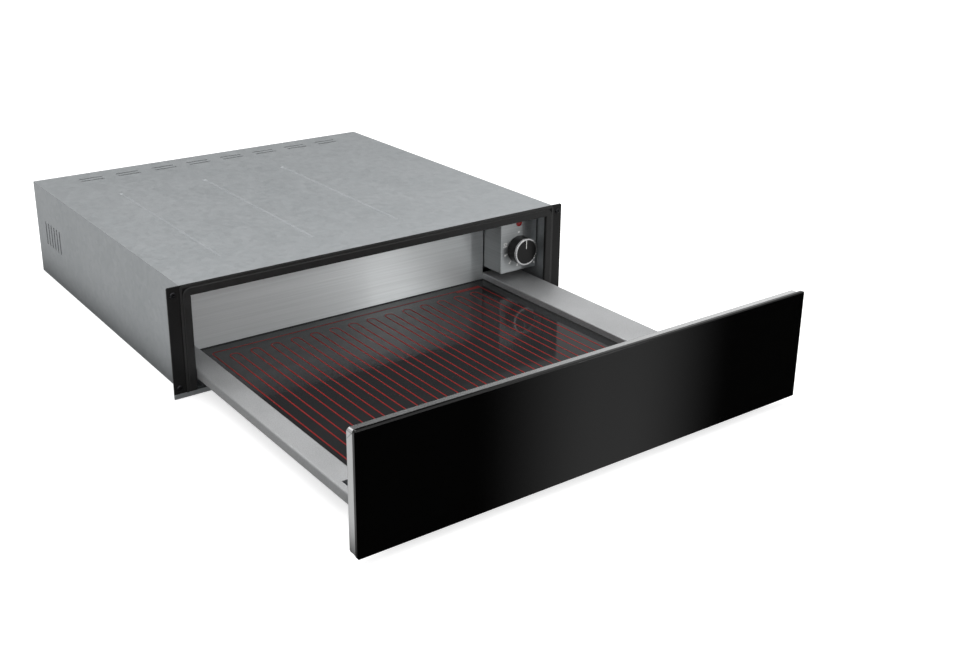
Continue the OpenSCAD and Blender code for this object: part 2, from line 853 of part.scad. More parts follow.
module middle_runner() {
  color("lightsteelblue") difference() {
    runner_frame(middle_runner_y) middle_section();
    web_holes(middle_runner_y, middle_u);
  }
}

module drawer_runner() {
  color("lightsteelblue") difference() {
    runner_frame(drawer_runner_y) drawer_section();
    web_holes(drawer_runner_y, runner_depth - runner_t);
  }
}

// Places one ball, or its hole, at each seat of a cage
module at_balls(y, u, v) {
  for (i = [0:ball_count - 1], s = [-1, 1]) {
    translate([-runner_x + u, y + (i + 0.5) * ball_pitch, runner_z + s * v]) children();
  }
}

// Channel-shaped strip with a round seat for each ball
module cage(y, u, v, r, web_u, mouth_u) {
  color("khaki") difference() {
    along_y([y, y + cage_l]) translate([-runner_x, runner_z]) {
      area([web_u, web_u + cage_t], [-v - cage_t / 2, v + cage_t / 2]);
      for (s = [-1, 1]) area([web_u, mouth_u], [s * v - cage_t / 2, s * v + cage_t / 2]);
    }
    at_balls(y, u, v) translate([0, 0, -cage_t]) cylinder(h = 2 * cage_t, r = r + 0.08);
  }
}

module outer_cage() {
  gap = (middle_u - runner_t - cage_t) / 2;
  cage(outer_cage_y, outer_race_u, outer_race_z, ball_r, runner_t + gap, outer_race_u + 2.4);
}

module inner_cage() {
  cage(inner_cage_y, inner_race_u, inner_race_z, inner_ball_r, middle_u + runner_t + 0.5,
       inner_race_u + 2.4);
}

module outer_balls() {
  color("white") at_balls(outer_cage_y, outer_race_u, outer_race_z) sphere(ball_r);
}

module inner_balls() {
  color("white") at_balls(inner_cage_y, inner_race_u, inner_race_z) sphere(inner_ball_r);
}

// Angle on the casing floor that carries a fixed runner member
module runner_bracket() {
  x = -runner_x;
  y = [runner_y, runner_y + runner_l];
  color("silver") {
    difference() {
      block([x - bracket_t, x], y, [casing_t, runner_z + runner_half]);
      for (k = [0.18, 0.42, 0.62, 0.86]) {
        translate([x - bracket_t - eps, runner_y + k * runner_l - window_l / 2, casing_t + window_h / 2])
          cube([bracket_t + 2 * eps, window_l, window_h]);
      }
    }
    block([x - bracket_foot, x], y, [casing_t, casing_t + bracket_t]);
  }
}

// ---- Latch and mains connection ----

module latch_body() {
  color("dimgray") difference() {
    union() {
      block([-latch_w / 2, latch_w / 2], [latch_front_y, latch_back_y], [casing_t, latch_h]);
      block([-latch_w / 2 - 12, latch_w / 2 + 12], [latch_front_y + 10, latch_back_y],
            [casing_t, casing_t + 3]);
    }
    rod_y(0, latch_z, plunger_r + plunger_play, [latch_front_y - eps, latch_back_y - 5]);
  }
}

// Sprung plunger with a rounded tip
module latch_plunger() {
  tip_y = latch_front_y - plunger_stroke;
  color("white") {
    intersection() {
      translate([0, tip_y + 2 * plunger_r, latch_z]) sphere(2 * plunger_r);
      rod_y(0, latch_z, plunger_r, [tip_y, tip_y + plunger_r]);
    }
    rod_y(0, latch_z, plunger_r, [tip_y + plunger_r, latch_back_y - 5 - plunger_stroke - 2]);
  }
}

module terminal_block() {
  x = terminal_x;
  color("ivory") difference() {
    block([x - terminal_w / 2, x + terminal_w / 2], [back_y - terminal_d, back_y],
          [gland_z - terminal_h / 2, gland_z + terminal_h / 2]);
    for (i = [-1:1]) {
      rod_y(x + i * terminal_w / 3.4, gland_z, 3.4, [back_y - terminal_d - eps, back_y - terminal_d + 9]);
    }
  }
}

// Gland with a flange inside the back panel and a hexagon nut outside it
module cable_gland() {
  color("black") difference() {
    union() {
      rod_y(gland_x, gland_z, gland_r - 2.5 - fit_gap, [back_y - gland_l / 2, casing_d + gland_l / 2]);
      rod_y(gland_x, gland_z, gland_r, [back_y - 3, back_y]);
      translate([gland_x, casing_d, gland_z]) rotate([-90, 0, 0])
        cylinder(h = gland_l / 3, r = gland_r, $fn = 6);
    }
    rod_y(gland_x, gland_z, gland_bore_r, [back_y - gland_l, casing_d + gland_l]);
  }
}

// ---- One line for each node ----

base_pan();
side_panel();  // side_panel_left
right_side() side_panel();  // side_panel_right
top_panel();
back_panel();
front_frame();
seal_carrier();
door_seal();
control_box();
control_box_cover();
indicator_lens();
thermostat_body();
runner_bracket();  // runner_bracket_left
right_side() runner_bracket();  // runner_bracket_right
cabinet_runner();  // cabinet_runner_left
right_side() cabinet_runner();  // cabinet_runner_right
latch_body();
terminal_block();
cable_gland();
latch_plunger();
front_glass();
glue_line();
front_backing();
front_tie();  // front_tie_left
right_side() front_tie();  // front_tie_right
tray_pan();
rail_cover_left();
rail_cover_right();
back_wall();
heating_plate();
heating_track();
heater_mat();
insulation_board();
thermal_cutout();
latch_striker();
drawer_runner();  // drawer_runner_left
right_side() drawer_runner();  // drawer_runner_right
middle_runner();  // middle_runner_left
right_side() middle_runner();  // middle_runner_right
outer_cage();  // outer_cage_left
right_side() outer_cage();  // outer_cage_right
outer_balls();  // outer_balls_left
right_side() outer_balls();  // outer_balls_right
inner_cage();  // inner_cage_left
right_side() inner_cage();  // inner_cage_right
inner_balls();  // inner_balls_left
right_side() inner_balls();  // inner_balls_right
knob_body();
knob_ring();
knob_pointer();
thermostat_shaft();
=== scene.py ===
"""The looks of a built-in warming drawer, pulled open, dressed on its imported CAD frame.

Sizes are in millimetres in the part's own frame: X to the right along the front, Y from the
front to the back, Z up from the casing's underside. Shape turns them to metres.
"""

from __future__ import annotations

import functools
import logging
import math
from collections.abc import Iterable, Mapping, Sequence
from dataclasses import dataclass, field
from enum import Enum
from typing import Any, ClassVar

import bmesh
import bpy
from mathutils import Matrix, Vector


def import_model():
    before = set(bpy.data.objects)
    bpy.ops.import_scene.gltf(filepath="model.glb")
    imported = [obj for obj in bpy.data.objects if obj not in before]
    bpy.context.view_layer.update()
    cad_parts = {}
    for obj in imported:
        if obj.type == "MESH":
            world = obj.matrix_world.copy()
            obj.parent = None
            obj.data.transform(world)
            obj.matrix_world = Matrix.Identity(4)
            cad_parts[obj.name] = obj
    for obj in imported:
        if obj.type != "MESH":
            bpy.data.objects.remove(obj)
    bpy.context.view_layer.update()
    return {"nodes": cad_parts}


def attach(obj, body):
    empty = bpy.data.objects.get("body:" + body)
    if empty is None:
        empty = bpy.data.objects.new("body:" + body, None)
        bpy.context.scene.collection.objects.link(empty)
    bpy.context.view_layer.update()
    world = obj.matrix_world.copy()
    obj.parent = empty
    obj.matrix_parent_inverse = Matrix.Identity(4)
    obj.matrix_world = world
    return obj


LOG = logging.getLogger("warming_drawer")
MM = 0.001
# A quarter turn of the brushed highlights, which the shader counts in whole turns.
QUARTER_TURN = 0.25
# Length in metres of one band of the wave texture at a scale of 1.
WAVE_M = 0.3142
Point2 = tuple[float, float]
Point3 = tuple[float, float, float]


class Axis(Enum):
    """A direction in the part's frame."""

    LEFT = (-1.0, 0.0, 0.0)
    RIGHT = (1.0, 0.0, 0.0)
    FRONT = (0.0, -1.0, 0.0)
    BACK = (0.0, 1.0, 0.0)


class Side(Enum):
    """A side as seen from the front, with its sign along X."""

    LEFT = -1.0
    RIGHT = 1.0

    @property
    def label(self) -> str:
        """Gives the side's word in a piece's name."""
        return self.name.lower()

    @property
    def way(self) -> Axis:
        """Gives the direction outwards on this side."""
        return Axis[self.name]


class Grain(Enum):
    """How a line pattern runs: which of X, Y and Z are drawn out along the line."""

    LEVEL = (True, True, False)
    ALONG_X = (True, False, False)
    ALONG_Y = (False, True, False)

    def patch(self, line_mm: float, run_mm: float) -> Point3:
        """Gives the size of a line along X, Y and Z from its thickness and its length."""
        return tuple(run_mm if drawn_out else line_mm for drawn_out in self.value)


# ---------- colour and nodes


def linear(code: str) -> tuple[float, float, float, float]:
    """Turns an sRGB hex colour to the linear values that the shaders take.

    Args:
        code: six hex digits with a leading hash.

    Returns:
        Linear red, green and blue, and an alpha of 1.
    """
    parts = [int(code[i : i + 2], 16) / 255 for i in (1, 3, 5)]
    return (*(c / 12.92 if c <= 0.04045 else ((c + 0.055) / 1.055) ** 2.4 for c in parts), 1.0)


Node = bpy.types.Node
Socket = bpy.types.NodeSocket
# What gives a field: a socket, or a node by its first socket.
Source = Node | Socket


@dataclass(frozen=True)
class Blend:
    """Two drawn fields laid over each other.

    Attributes:
        first: the field that has the rest of the share.
        second: the field that has the share.
        share: how much of the second is taken.
    """

    first: Source
    second: Source
    share: float = 0.5


Feed = Source | Blend

# The mix node's sockets, whose names repeat.
SHARE, FIRST, SECOND, FIRST_COLOUR, SECOND_COLOUR = 0, 2, 3, 6, 7
MIXED_COLOUR = 2


@dataclass(frozen=True)
class Canvas:
    """A node tree in which a surface or the studio's light is drawn."""

    tree: bpy.types.NodeTree

    def add(
        self,
        kind: str,
        settings: Mapping[str, Any] | None = None,
        inputs: Mapping[str | int, Any] | None = None,
    ) -> Node:
        """Adds one node with its settings, and fills or links its inputs.

        Args:
            kind: Blender's name for the kind of node, less the ShaderNode that it starts with.
            settings: properties of the node.
            inputs: for each input, a value or what feeds it.

        Returns:
            The new node.
        """
        node = self.tree.nodes.new("ShaderNode" + kind)
        for name, value in (settings or {}).items():
            setattr(node, name, value)
        self.feed(node, inputs or {})
        return node

    def feed(self, node: Node, inputs: Mapping[str | int, Any]) -> None:
        """Fills or links inputs of a node.

        Args:
            node: the node that gets them.
            inputs: for each input, a value or what feeds it.
        """
        for name, value in inputs.items():
            if isinstance(value, Blend):
                both = {SHARE: value.share, FIRST: value.first, SECOND: value.second}
                value = self.add("Mix", inputs=both)
            if isinstance(value, Node):
                value = value.outputs[0]
            if isinstance(value, Socket):
                self.tree.links.new(value, node.inputs[name])
            else:
                node.inputs[name].default_value = value

    @functools.cached_property
    def place(self) -> Socket:
        """Gives the object coordinates, in metres."""
        return self.add("TexCoord").outputs["Object"]

    def noise(
        self, size_mm: float | Point3, detail: float = 2.0, spread: Point2 = (0.3, 0.7)
    ) -> Node:
        """Draws cloudy noise whose patches have a real size.

        Args:
            size_mm: how long a patch is, either the same all ways or along X, Y and Z.
            detail: how much finer noise is laid over the patches.
            spread: the noise values that become 0 and 1.

        Returns:
            The node that gives a value from 0 to 1.
        """
        sizes = size_mm if isinstance(size_mm, tuple) else (size_mm,) * 3
        scale = tuple(1 / (size * MM) for size in sizes)
        scaled = self.add("Mapping", inputs={"Vector": self.place, "Scale": scale})
        cloud = self.add("TexNoise", inputs={"Vector": scaled, "Scale": 1.0, "Detail": detail})
        low, high = spread
        return self.add("MapRange", inputs={"Value": cloud, "From Min": low, "From Max": high})


@dataclass(frozen=True)
class Pattern:
    """What a finish draws over its surface, each from 0 to 1.

    Attributes:
        tint: 0 keeps the finish's colour and 1 gives its second colour.
        gloss: 0 gives the lower roughness and 1 the higher.
        relief: the height of the surface as a share of the finish's relief.
    """

    tint: Feed
    gloss: Feed
    relief: Feed


# ---------- finishes


@dataclass(frozen=True)
class Finish:
    """A real material with its surface, from which one procedural material is made.

    Attributes:
        name: the material's and the process's common name.
        colours: its main colour, and the second one that its pattern brings in.
        rough: lower and higher roughness.
        relief_mm: height of the pattern's relief.
        edge_mm: radius to which its edges are rounded off.
        metallic: 1 for bare metal.
        ior: index of refraction; a metal keeps the shader's default.
        specular: share of the reflection that the index gives, 0.5 being the whole.
        stretch: how far a brushed surface draws its highlights out.
        through: share of light that passes.
    """

    name: str
    colours: tuple[str, str]
    rough: Point2
    relief_mm: float = 0.01
    edge_mm: float = 0.25
    metallic: float = 0.0
    ior: float = 1.5
    specular: float = 0.5
    stretch: float = 0.0
    through: float = 0.0

    def pattern(self, canvas: Canvas) -> Pattern:
        """Draws the surface; each kind of finish has its own.

        Args:
            canvas: the material's nodes.

        Returns:
            The fields of its surface, from which the material is made.
        """
        raise NotImplementedError

    def make(self) -> bpy.types.Material:
        """Builds the material.

        Returns:
            The material, with every input that is the same all over set on its own socket.
        """
        material = bpy.data.materials.new(self.name)
        material.use_nodes = True
        canvas = Canvas(material.node_tree)
        drawn = self.pattern(canvas)
        main, second = map(linear, self.colours)
        tints = {SHARE: drawn.tint, FIRST_COLOUR: main, SECOND_COLOUR: second}
        colour = canvas.add("Mix", {"data_type": "RGBA"}, tints)
        low, high = self.rough
        gloss = canvas.add("MapRange", inputs={"Value": drawn.gloss, "To Min": low, "To Max": high})
        edge = canvas.add("Bevel", {"samples": 4}, {"Radius": self.edge_mm * MM})
        relief = {"Strength": 1.0, "Distance": self.relief_mm * MM, "Height": drawn.relief}
        inputs = {
            "Base Color": colour.outputs[MIXED_COLOUR],
            "Roughness": gloss,
            "Normal": canvas.add("Bump", inputs={**relief, "Normal": edge}),
            "Metallic": self.metallic,
            "Specular IOR Level": self.specular,
            "Transmission Weight": self.through,
        }
        if not self.metallic:
            inputs["IOR"] = self.ior
        if self.stretch:
            inputs["Anisotropic"] = self.stretch
            inputs["Anisotropic Rotation"] = QUARTER_TURN
            inputs["Tangent"] = canvas.add("Tangent", {"direction_type": "RADIAL", "axis": "Z"})
        canvas.feed(canvas.tree.nodes["Principled BSDF"], inputs)
        return material


@dataclass(frozen=True)
class BrushedSheet(Finish):
    """Sheet ground with a belt, so that it shows long fine lines.

    Attributes:
        line_mm: thickness of a line.
        run_mm: length of a line.
        coarse: how many times as thick and long the softer lines are.
    """

    line_mm: float = 0.7
    run_mm: float = 70.0
    coarse: float = 3.4

    def pattern(self, canvas: Canvas) -> Pattern:
        """Draws fine level lines over wider, softer ones.

        Args:
            canvas: the material's nodes.

        Returns:
            The fields of its surface.
        """
        fine = canvas.noise(Grain.LEVEL.patch(self.line_mm, self.run_mm), 3.0, (0.25, 0.75))
        line, run = self.line_mm * self.coarse, self.run_mm * self.coarse
        wide = canvas.noise(Grain.LEVEL.patch(line, run), detail=1.0)
        return Pattern(tint=Blend(fine, wide, 0.45), gloss=wide, relief=fine)


@dataclass(frozen=True)
class BlastedSheet(Finish):
    """Sheet blasted with fine glass beads, so that it shows small grain without direction.

    Attributes:
        grit_mm: size of a grain.
        cloud_mm: size of the faint clouds that blasting leaves.
    """

    grit_mm: float = 1.1
    cloud_mm: float = 60.0

    def pattern(self, canvas: Canvas) -> Pattern:
        """Draws grit over faint clouds."""
        grit, cloud = canvas.noise(self.grit_mm), canvas.noise(self.cloud_mm)
        return Pattern(tint=Blend(grit, cloud, 0.35), gloss=grit, relief=grit)


@dataclass(frozen=True)
class SpangledSheet(Finish):
    """Hot-dip galvanised sheet with its zinc crystals.

    Attributes:
        spangle_mm: size of a crystal.
        stray: how far a crystal's edge strays, as a share of its size.
        streak_mm: size of the dull streaks over the crystals.
    """

    spangle_mm: float = 7.0
    stray: float = 0.2
    streak_mm: float = 90.0

    def pattern(self, canvas: Canvas) -> Pattern:
        """Draws flat crystals with dull streaks over them.

        Args:
            canvas: the material's nodes.

        Returns:
            The fields of its surface.
        """
        size = self.spangle_mm * MM
        waves = {"Vector": canvas.place, "Scale": 1 / size, "Detail": 2.0}
        bent = canvas.add("TexNoise", inputs=waves)
        moved = canvas.add(
            "VectorMath",
            {"operation": "MULTIPLY_ADD"},
            {0: bent.outputs["Color"], 1: (self.stray * size,) * 3, 2: canvas.place},
        )
        cells = canvas.add("TexVoronoi", inputs={"Vector": moved, "Scale": 1 / size})
        facet = canvas.add("SeparateColor", inputs={0: cells.outputs["Color"]})
        dull = canvas.noise(self.streak_mm, detail=4.0)
        return Pattern(tint=Blend(facet, dull, 0.45), gloss=facet.outputs[1], relief=dull)


@dataclass(frozen=True)
class SprayedCoat(Finish):
    """Paint or powder coat, with the slight waviness of a sprayed film.

    Attributes:
        peel_mm: width of a wave in the film.
        speck_mm: size of the pigment's specks.
        cloud_mm: size of the clouds that spraying leaves.
    """

    peel_mm: float = 1.6
    speck_mm: float = 0.5
    cloud_mm: float = 45.0

    def pattern(self, canvas: Canvas) -> Pattern:
        """Draws pigment specks on a wavy film.

        Args:
            canvas: the material's nodes.

        Returns:
            The fields of its surface.
        """
        peel = canvas.noise(self.peel_mm, detail=1.0)
        speck = canvas.noise(self.speck_mm, detail=1.0, spread=(0.5, 0.8))
        cloud = canvas.noise(self.cloud_mm, detail=3.0)
        return Pattern(tint=Blend(speck, cloud), gloss=cloud, relief=peel)


@dataclass(frozen=True)
class Moulded(Finish):
    """Injection moulding from a spark-eroded tool.

    Attributes:
        spark_mm: size of a pit of the tool's texture.
        flow_mm: size of the faint flow marks.
    """

    spark_mm: float = 0.45
    flow_mm: float = 22.0

    def pattern(self, canvas: Canvas) -> Pattern:
        """Draws fine pits over faint flow marks."""
        spark, flow = canvas.noise(self.spark_mm), canvas.noise(self.flow_mm, detail=3.0)
        return Pattern(tint=flow, gloss=Blend(flow, spark, 0.4), relief=spark)


@dataclass(frozen=True)
class Extruded(Finish):
    """Rubber or metal pushed or pulled through a die, with faint lines along its length.

    Attributes:
        grain: how the lines run.
        line_mm: thickness of a die line.
        run_mm: length of a die line.
        bloom_mm: size of the clouds of its bloom.
    """

    grain: Grain = Grain.ALONG_Y
    line_mm: float = 0.5
    run_mm: float = 160.0
    bloom_mm: float = 9.0

    def pattern(self, canvas: Canvas) -> Pattern:
        """Draws die lines with a cloudy bloom over them.

        Args:
            canvas: the material's nodes.

        Returns:
            The fields of its surface.
        """
        lines = canvas.noise(self.grain.patch(self.line_mm, self.run_mm))
        bloom = canvas.noise(self.bloom_mm, detail=4.0)
        return Pattern(tint=Blend(lines, bloom), gloss=bloom, relief=lines)


@dataclass(frozen=True)
class FlatGlass(Finish):
    """Glass pane, polished or lightly etched, with the faintest wave and dust.

    Attributes:
        wave_mm: width of the wave that toughening leaves.
        dust_mm: distance between specks of dust.
    """

    wave_mm: float = 120.0
    dust_mm: float = 2.2

    def pattern(self, canvas: Canvas) -> Pattern:
        """Draws a long wave, and dust that only dulls the gloss.

        Args:
            canvas: the material's nodes.

        Returns:
            The fields of its surface.
        """
        wave = canvas.noise(self.wave_mm, detail=0.0)
        dust = canvas.noise(self.dust_mm, spread=(0.62, 0.8))
        haze = canvas.noise(self.wave_mm, detail=3.0)
        return Pattern(tint=dust, gloss=Blend(haze, dust, 0.3), relief=wave)


@dataclass(frozen=True)
class ScreenPrint(Finish):
    """Ink or paste pressed through a screen, a little thicker here and thinner there.

    Attributes:
        mesh_mm: distance between the screen's threads.
        thick_mm: size of the thicker and thinner places.
    """

    mesh_mm: float = 0.9
    thick_mm: float = 30.0

    def pattern(self, canvas: Canvas) -> Pattern:
        """Draws the screen's mottle over slow changes of thickness."""
        mottle, thick = canvas.noise(self.mesh_mm), canvas.noise(self.thick_mm)
        return Pattern(tint=Blend(thick, mottle, 0.4), gloss=mottle, relief=mottle)


@dataclass(frozen=True)
class PolishedPlate(Finish):
    """Plated or ground bright metal, with a breath of uneven polish.

    Attributes:
        polish_mm: size of the patches that polishing leaves.
        scratch_mm: size of the finest marks.
    """

    polish_mm: float = 5.0
    scratch_mm: float = 0.4

    def pattern(self, canvas: Canvas) -> Pattern:
        """Draws patches of polish."""
        patch, fine = canvas.noise(self.polish_mm, 3.0), canvas.noise(self.scratch_mm, 1.0)
        return Pattern(tint=patch, gloss=Blend(patch, fine, 0.3), relief=fine)


@dataclass(frozen=True)
class Fibrous(Finish):
    """Pressed mineral fibre, with crossing fibres that catch the light.

    Attributes:
        fibre_mm: thickness of a bundle of fibres.
        run_mm: length of a bundle.
    """

    fibre_mm: float = 0.5
    run_mm: float = 9.0

    def pattern(self, canvas: Canvas) -> Pattern:
        """Draws bundles that run both ways in the board.

        Args:
            canvas: the material's nodes.

        Returns:
            The fields of its surface.
        """
        grains = (Grain.ALONG_X, Grain.ALONG_Y)
        along, across = (canvas.noise(grain.patch(self.fibre_mm, self.run_mm)) for grain in grains)
        both = Blend(along, across)
        return Pattern(tint=both, gloss=across, relief=both)


@dataclass(frozen=True)
class CoatedCloth(Finish):
    """Glass cloth pressed into silicone, with its plain weave showing through.

    Attributes:
        thread_mm: distance between threads.
        cloud_mm: size of the clouds in the silicone.
    """

    thread_mm: float = 1.2
    cloud_mm: float = 14.0

    def pattern(self, canvas: Canvas) -> Pattern:
        """Draws two sets of threads over each other.

        Args:
            canvas: the material's nodes.

        Returns:
            The fields of its surface.
        """
        scale = WAVE_M / (self.thread_mm * MM)
        threads = {"Vector": canvas.place, "Scale": scale, "Distortion": 0.6}
        warp, weft = (canvas.add("TexWave", {"bands_direction": way}, threads) for way in "XY")
        weave = Blend(warp.outputs["Fac"], weft.outputs["Fac"])
        return Pattern(tint=canvas.noise(self.cloud_mm), gloss=weave, relief=weave)


# Belt-ground stainless: level lines and a soft reflection drawn out upright. Real lines are
# about 0.1 mm thick, which the picture can't show, so they are drawn seven times as coarse.
BRUSHED_STAINLESS = BrushedSheet(
    name="brushed_304_stainless_steel",
    colours=("#c6c9ca", "#b5b8b9"),
    rough=(0.35, 0.4),
    relief_mm=0.003,
    edge_mm=0.5,
    metallic=1.0,
    stretch=1.0,
)
# Duller grind on the folded box: the same long lines, with a wider and softer glow.
SATIN_STAINLESS = BrushedSheet(
    name="satin_ground_304_stainless_steel",
    colours=("#bdc0c1", "#acafb0"),
    rough=(0.48, 0.54),
    relief_mm=0.003,
    edge_mm=1.2,
    metallic=1.0,
    stretch=0.6,
)
# Bead-blasted stainless: an even grey that glows without mirroring, with a faint sparkle. Its
# pitted skin scatters some light as a matt surface does, so it is a little less than metallic.
BLASTED_STAINLESS = BlastedSheet(
    name="bead_blasted_304_stainless_steel",
    colours=("#c4c5c6", "#a6a7a8"),
    rough=(0.44, 0.52),
    relief_mm=0.12,
    edge_mm=0.6,
    metallic=0.8,
)
# Galvanised sheet: dull grey that mirrors nothing, with crystals a little lighter or darker.
GALVANISED_SHEET = SpangledSheet(
    name="hot_dip_galvanised_steel",
    colours=("#b4b7b9", "#a9adaf"),
    rough=(0.55, 0.62),
    relief_mm=0.004,
    edge_mm=0.4,
    metallic=1.0,
)
# Silver stoved paint on the folded front: light grey, bright where it turns to the light.
SILVER_PAINT = SprayedCoat(
    name="silver_stoved_paint_on_steel",
    colours=("#c9caca", "#bebfc0"),
    rough=(0.22, 0.28),
    relief_mm=0.004,
    edge_mm=0.9,
    metallic=1.0,
)
# Black powder coat on the frame: deep charcoal with a soft, slightly wavy sheen.
BLACK_POWDER_COAT = SprayedCoat(
    name="black_powder_coat_on_steel",
    colours=("#0f0f0f", "#151515"),
    rough=(0.36, 0.46),
    relief_mm=0.012,
    edge_mm=0.4,
    specular=0.22,
)
# Black polypropylene: near-black, finely pitted, with a dull sheen.
BLACK_POLYPROPYLENE = Moulded(
    name="moulded_black_polypropylene",
    colours=("#151515", "#1b1b1b"),
    rough=(0.38, 0.5),
    relief_mm=0.012,
    ior=1.49,
)
# Silicone seal: black rubber with faint lines along it and a greyish bloom.
SEAL_SILICONE = Extruded(
    name="extruded_black_silicone_rubber",
    colours=("#101010", "#191919"),
    rough=(0.42, 0.58),
    relief_mm=0.02,
    edge_mm=0.5,
    ior=1.41,
    grain=Grain.LEVEL,
)
# Back-painted toughened glass: deep black under a clear gloss, with hardly a wave.
BLACK_GLASS = FlatGlass(
    name="back_painted_toughened_glass",
    colours=("#020202", "#070707"),
    rough=(0.035, 0.07),
    relief_mm=0.004,
    edge_mm=0.3,
    ior=1.52,
    specular=0.38,
)
# Heating glass: dark grey glass ceramic that mirrors the wall a little softly.
HEATING_GLASS = FlatGlass(
    name="dark_glass_ceramic",
    colours=("#29292a", "#2d2d2e"),
    rough=(0.06, 0.1),
    relief_mm=0.004,
    edge_mm=0.4,
    ior=1.52,
    specular=0.15,
    wave_mm=90.0,
)
# Printed heating track: brick red fired paste, matt, slightly uneven in thickness.
RED_PASTE = ScreenPrint(
    name="screen_printed_red_enamel",
    colours=("#862321", "#7a1f1d"),
    rough=(0.35, 0.45),
    edge_mm=0.05,
    ior=1.55,
    specular=0.1,
)
# White ink of the scale and the pointer: clean, matt, a little thin in places.
WHITE_INK = ScreenPrint(
    name="screen_printed_white_ink",
    colours=("#f0f0ee", "#e2e2e0"),
    rough=(0.45, 0.55),
    relief_mm=0.004,
    edge_mm=0.02,
    mesh_mm=0.4,
)
# Black silicone bead: soft gloss and a hand-smoothed surface.
BLACK_SEALANT = Moulded(
    name="smoothed_black_silicone_sealant",
    colours=("#0d0d0d", "#131313"),
    rough=(0.3, 0.45),
    relief_mm=0.02,
    ior=1.41,
    spark_mm=2.5,
)
# Heater mat: rust-red silicone with glass cloth showing through.
SILICONE_CLOTH = CoatedCloth(
    name="silicone_coated_glass_cloth",
    colours=("#a2452f", "#8b3a27"),
    rough=(0.45, 0.6),
    relief_mm=0.05,
    ior=1.41,
)
# Insulation board: off-white pressed fibre, matt and slightly hairy.
MINERAL_BOARD = Fibrous(
    name="pressed_mineral_fibre_board",
    colours=("#d6cfbd", "#b9af98"),
    rough=(0.85, 0.98),
    relief_mm=0.15,
)
# Zinc-plated runner strip: bright cool grey with rolling lines along it.
ZINC_PLATED_STRIP = Extruded(
    name="zinc_plated_rolled_steel",
    colours=("#c9ccd0", "#a9adb3"),
    rough=(0.2, 0.34),
    relief_mm=0.006,
    metallic=1.0,
)
# Bearing balls: hard mirror polish.
BEARING_STEEL = PolishedPlate(
    name="ground_bearing_steel",
    colours=("#c8c8c9", "#b8b8ba"),
    rough=(0.05, 0.1),
    relief_mm=0.001,
    edge_mm=0.05,
    metallic=1.0,
)
# Ball cages: thin stamped steel, duller than the runners and a little darker.
CAGE_STRIP = Extruded(
    name="stamped_steel_cage_strip",
    colours=("#9b9da0", "#84868a"),
    rough=(0.3, 0.42),
    relief_mm=0.006,
    edge_mm=0.1,
    metallic=1.0,
)
# Knob's plastic: satin black with the finest pits.
BLACK_ABS = Moulded(
    name="moulded_black_abs",
    colours=("#0b0b0b", "#101010"),
    rough=(0.28, 0.36),
    relief_mm=0.006,
    edge_mm=0.5,
    ior=1.53,
    specular=0.26,
    spark_mm=0.3,
)
# Knob's ring: satin chrome that stays pale all the way round.
CHROME_PLATE = PolishedPlate(
    name="satin_chrome_plate_on_zinc",
    colours=("#dedfdf", "#d2d2d3"),
    rough=(0.24, 0.32),
    relief_mm=0.001,
    edge_mm=0.35,
    metallic=1.0,
)
# Lamp lens: dull red polycarbonate with a little depth.
RED_POLYCARBONATE = Moulded(
    name="moulded_red_polycarbonate",
    colours=("#a02020", "#871a1a"),
    rough=(0.16, 0.28),
    relief_mm=0.004,
    edge_mm=0.2,
    ior=1.58,
    through=0.25,
    spark_mm=1.2,
)
# Phenolic moulding: dark brown-black with pale specks of filler.
PHENOLIC = SprayedCoat(
    name="pressed_phenolic_resin",
    colours=("#2a2019", "#3a2d22"),
    rough=(0.34, 0.48),
    ior=1.6,
    speck_mm=0.8,
)
# Natural polyamide: milky cream with a waxy sheen.
NATURAL_POLYAMIDE = Moulded(
    name="moulded_natural_polyamide",
    colours=("#d9d3c2", "#c9c2af"),
    rough=(0.38, 0.5),
    ior=1.53,
)
# Blackened screws: dark oiled oxide with a metallic glint.
BLACK_OXIDE = PolishedPlate(
    name="black_oxide_on_steel",
    colours=("#3a3a3c", "#2a2a2c"),
    rough=(0.28, 0.4),
    relief_mm=0.004,
    edge_mm=0.15,
    metallic=1.0,
)
# Seam lines in the folded front: dark hairlines.
SEAM_SHADOW = Moulded(
    name="weld_seam_oxide",
    colours=("#4c4c4c", "#5a5a5a"),
    rough=(0.6, 0.8),
    edge_mm=0.02,
)


@functools.cache
def material_of(finish: Finish) -> bpy.types.Material:
    """Makes a finish's material the first time, and gives the same one after that."""
    return finish.make()


# ---------- shapes


def facing(at: Point3, way: Axis, turn: float = 0.0) -> Matrix:
    """Gives the place of something that stands on a surface.

    Args:
        at: the foot, in millimetres.
        way: the direction that it stands in.
        turn: its turn about that direction, in degrees.

    Returns:
        A matrix whose own Z is the direction.
    """
    stand = Vector(way.value).to_track_quat("Z", "Y").to_matrix().to_4x4()
    return Matrix.Translation(at) @ stand @ Matrix.Rotation(math.radians(turn), 4, "Z")


def ring(radius: float, sides: int) -> list[Point2]:
    """Gives the points of a circle.

    Args:
        radius: its radius.
        sides: how many points it has.

    Returns:
        The points in order, from the X axis round.
    """
    angles = [2 * math.pi * i / sides for i in range(sides)]
    return [(radius * math.cos(angle), radius * math.sin(angle)) for angle in angles]


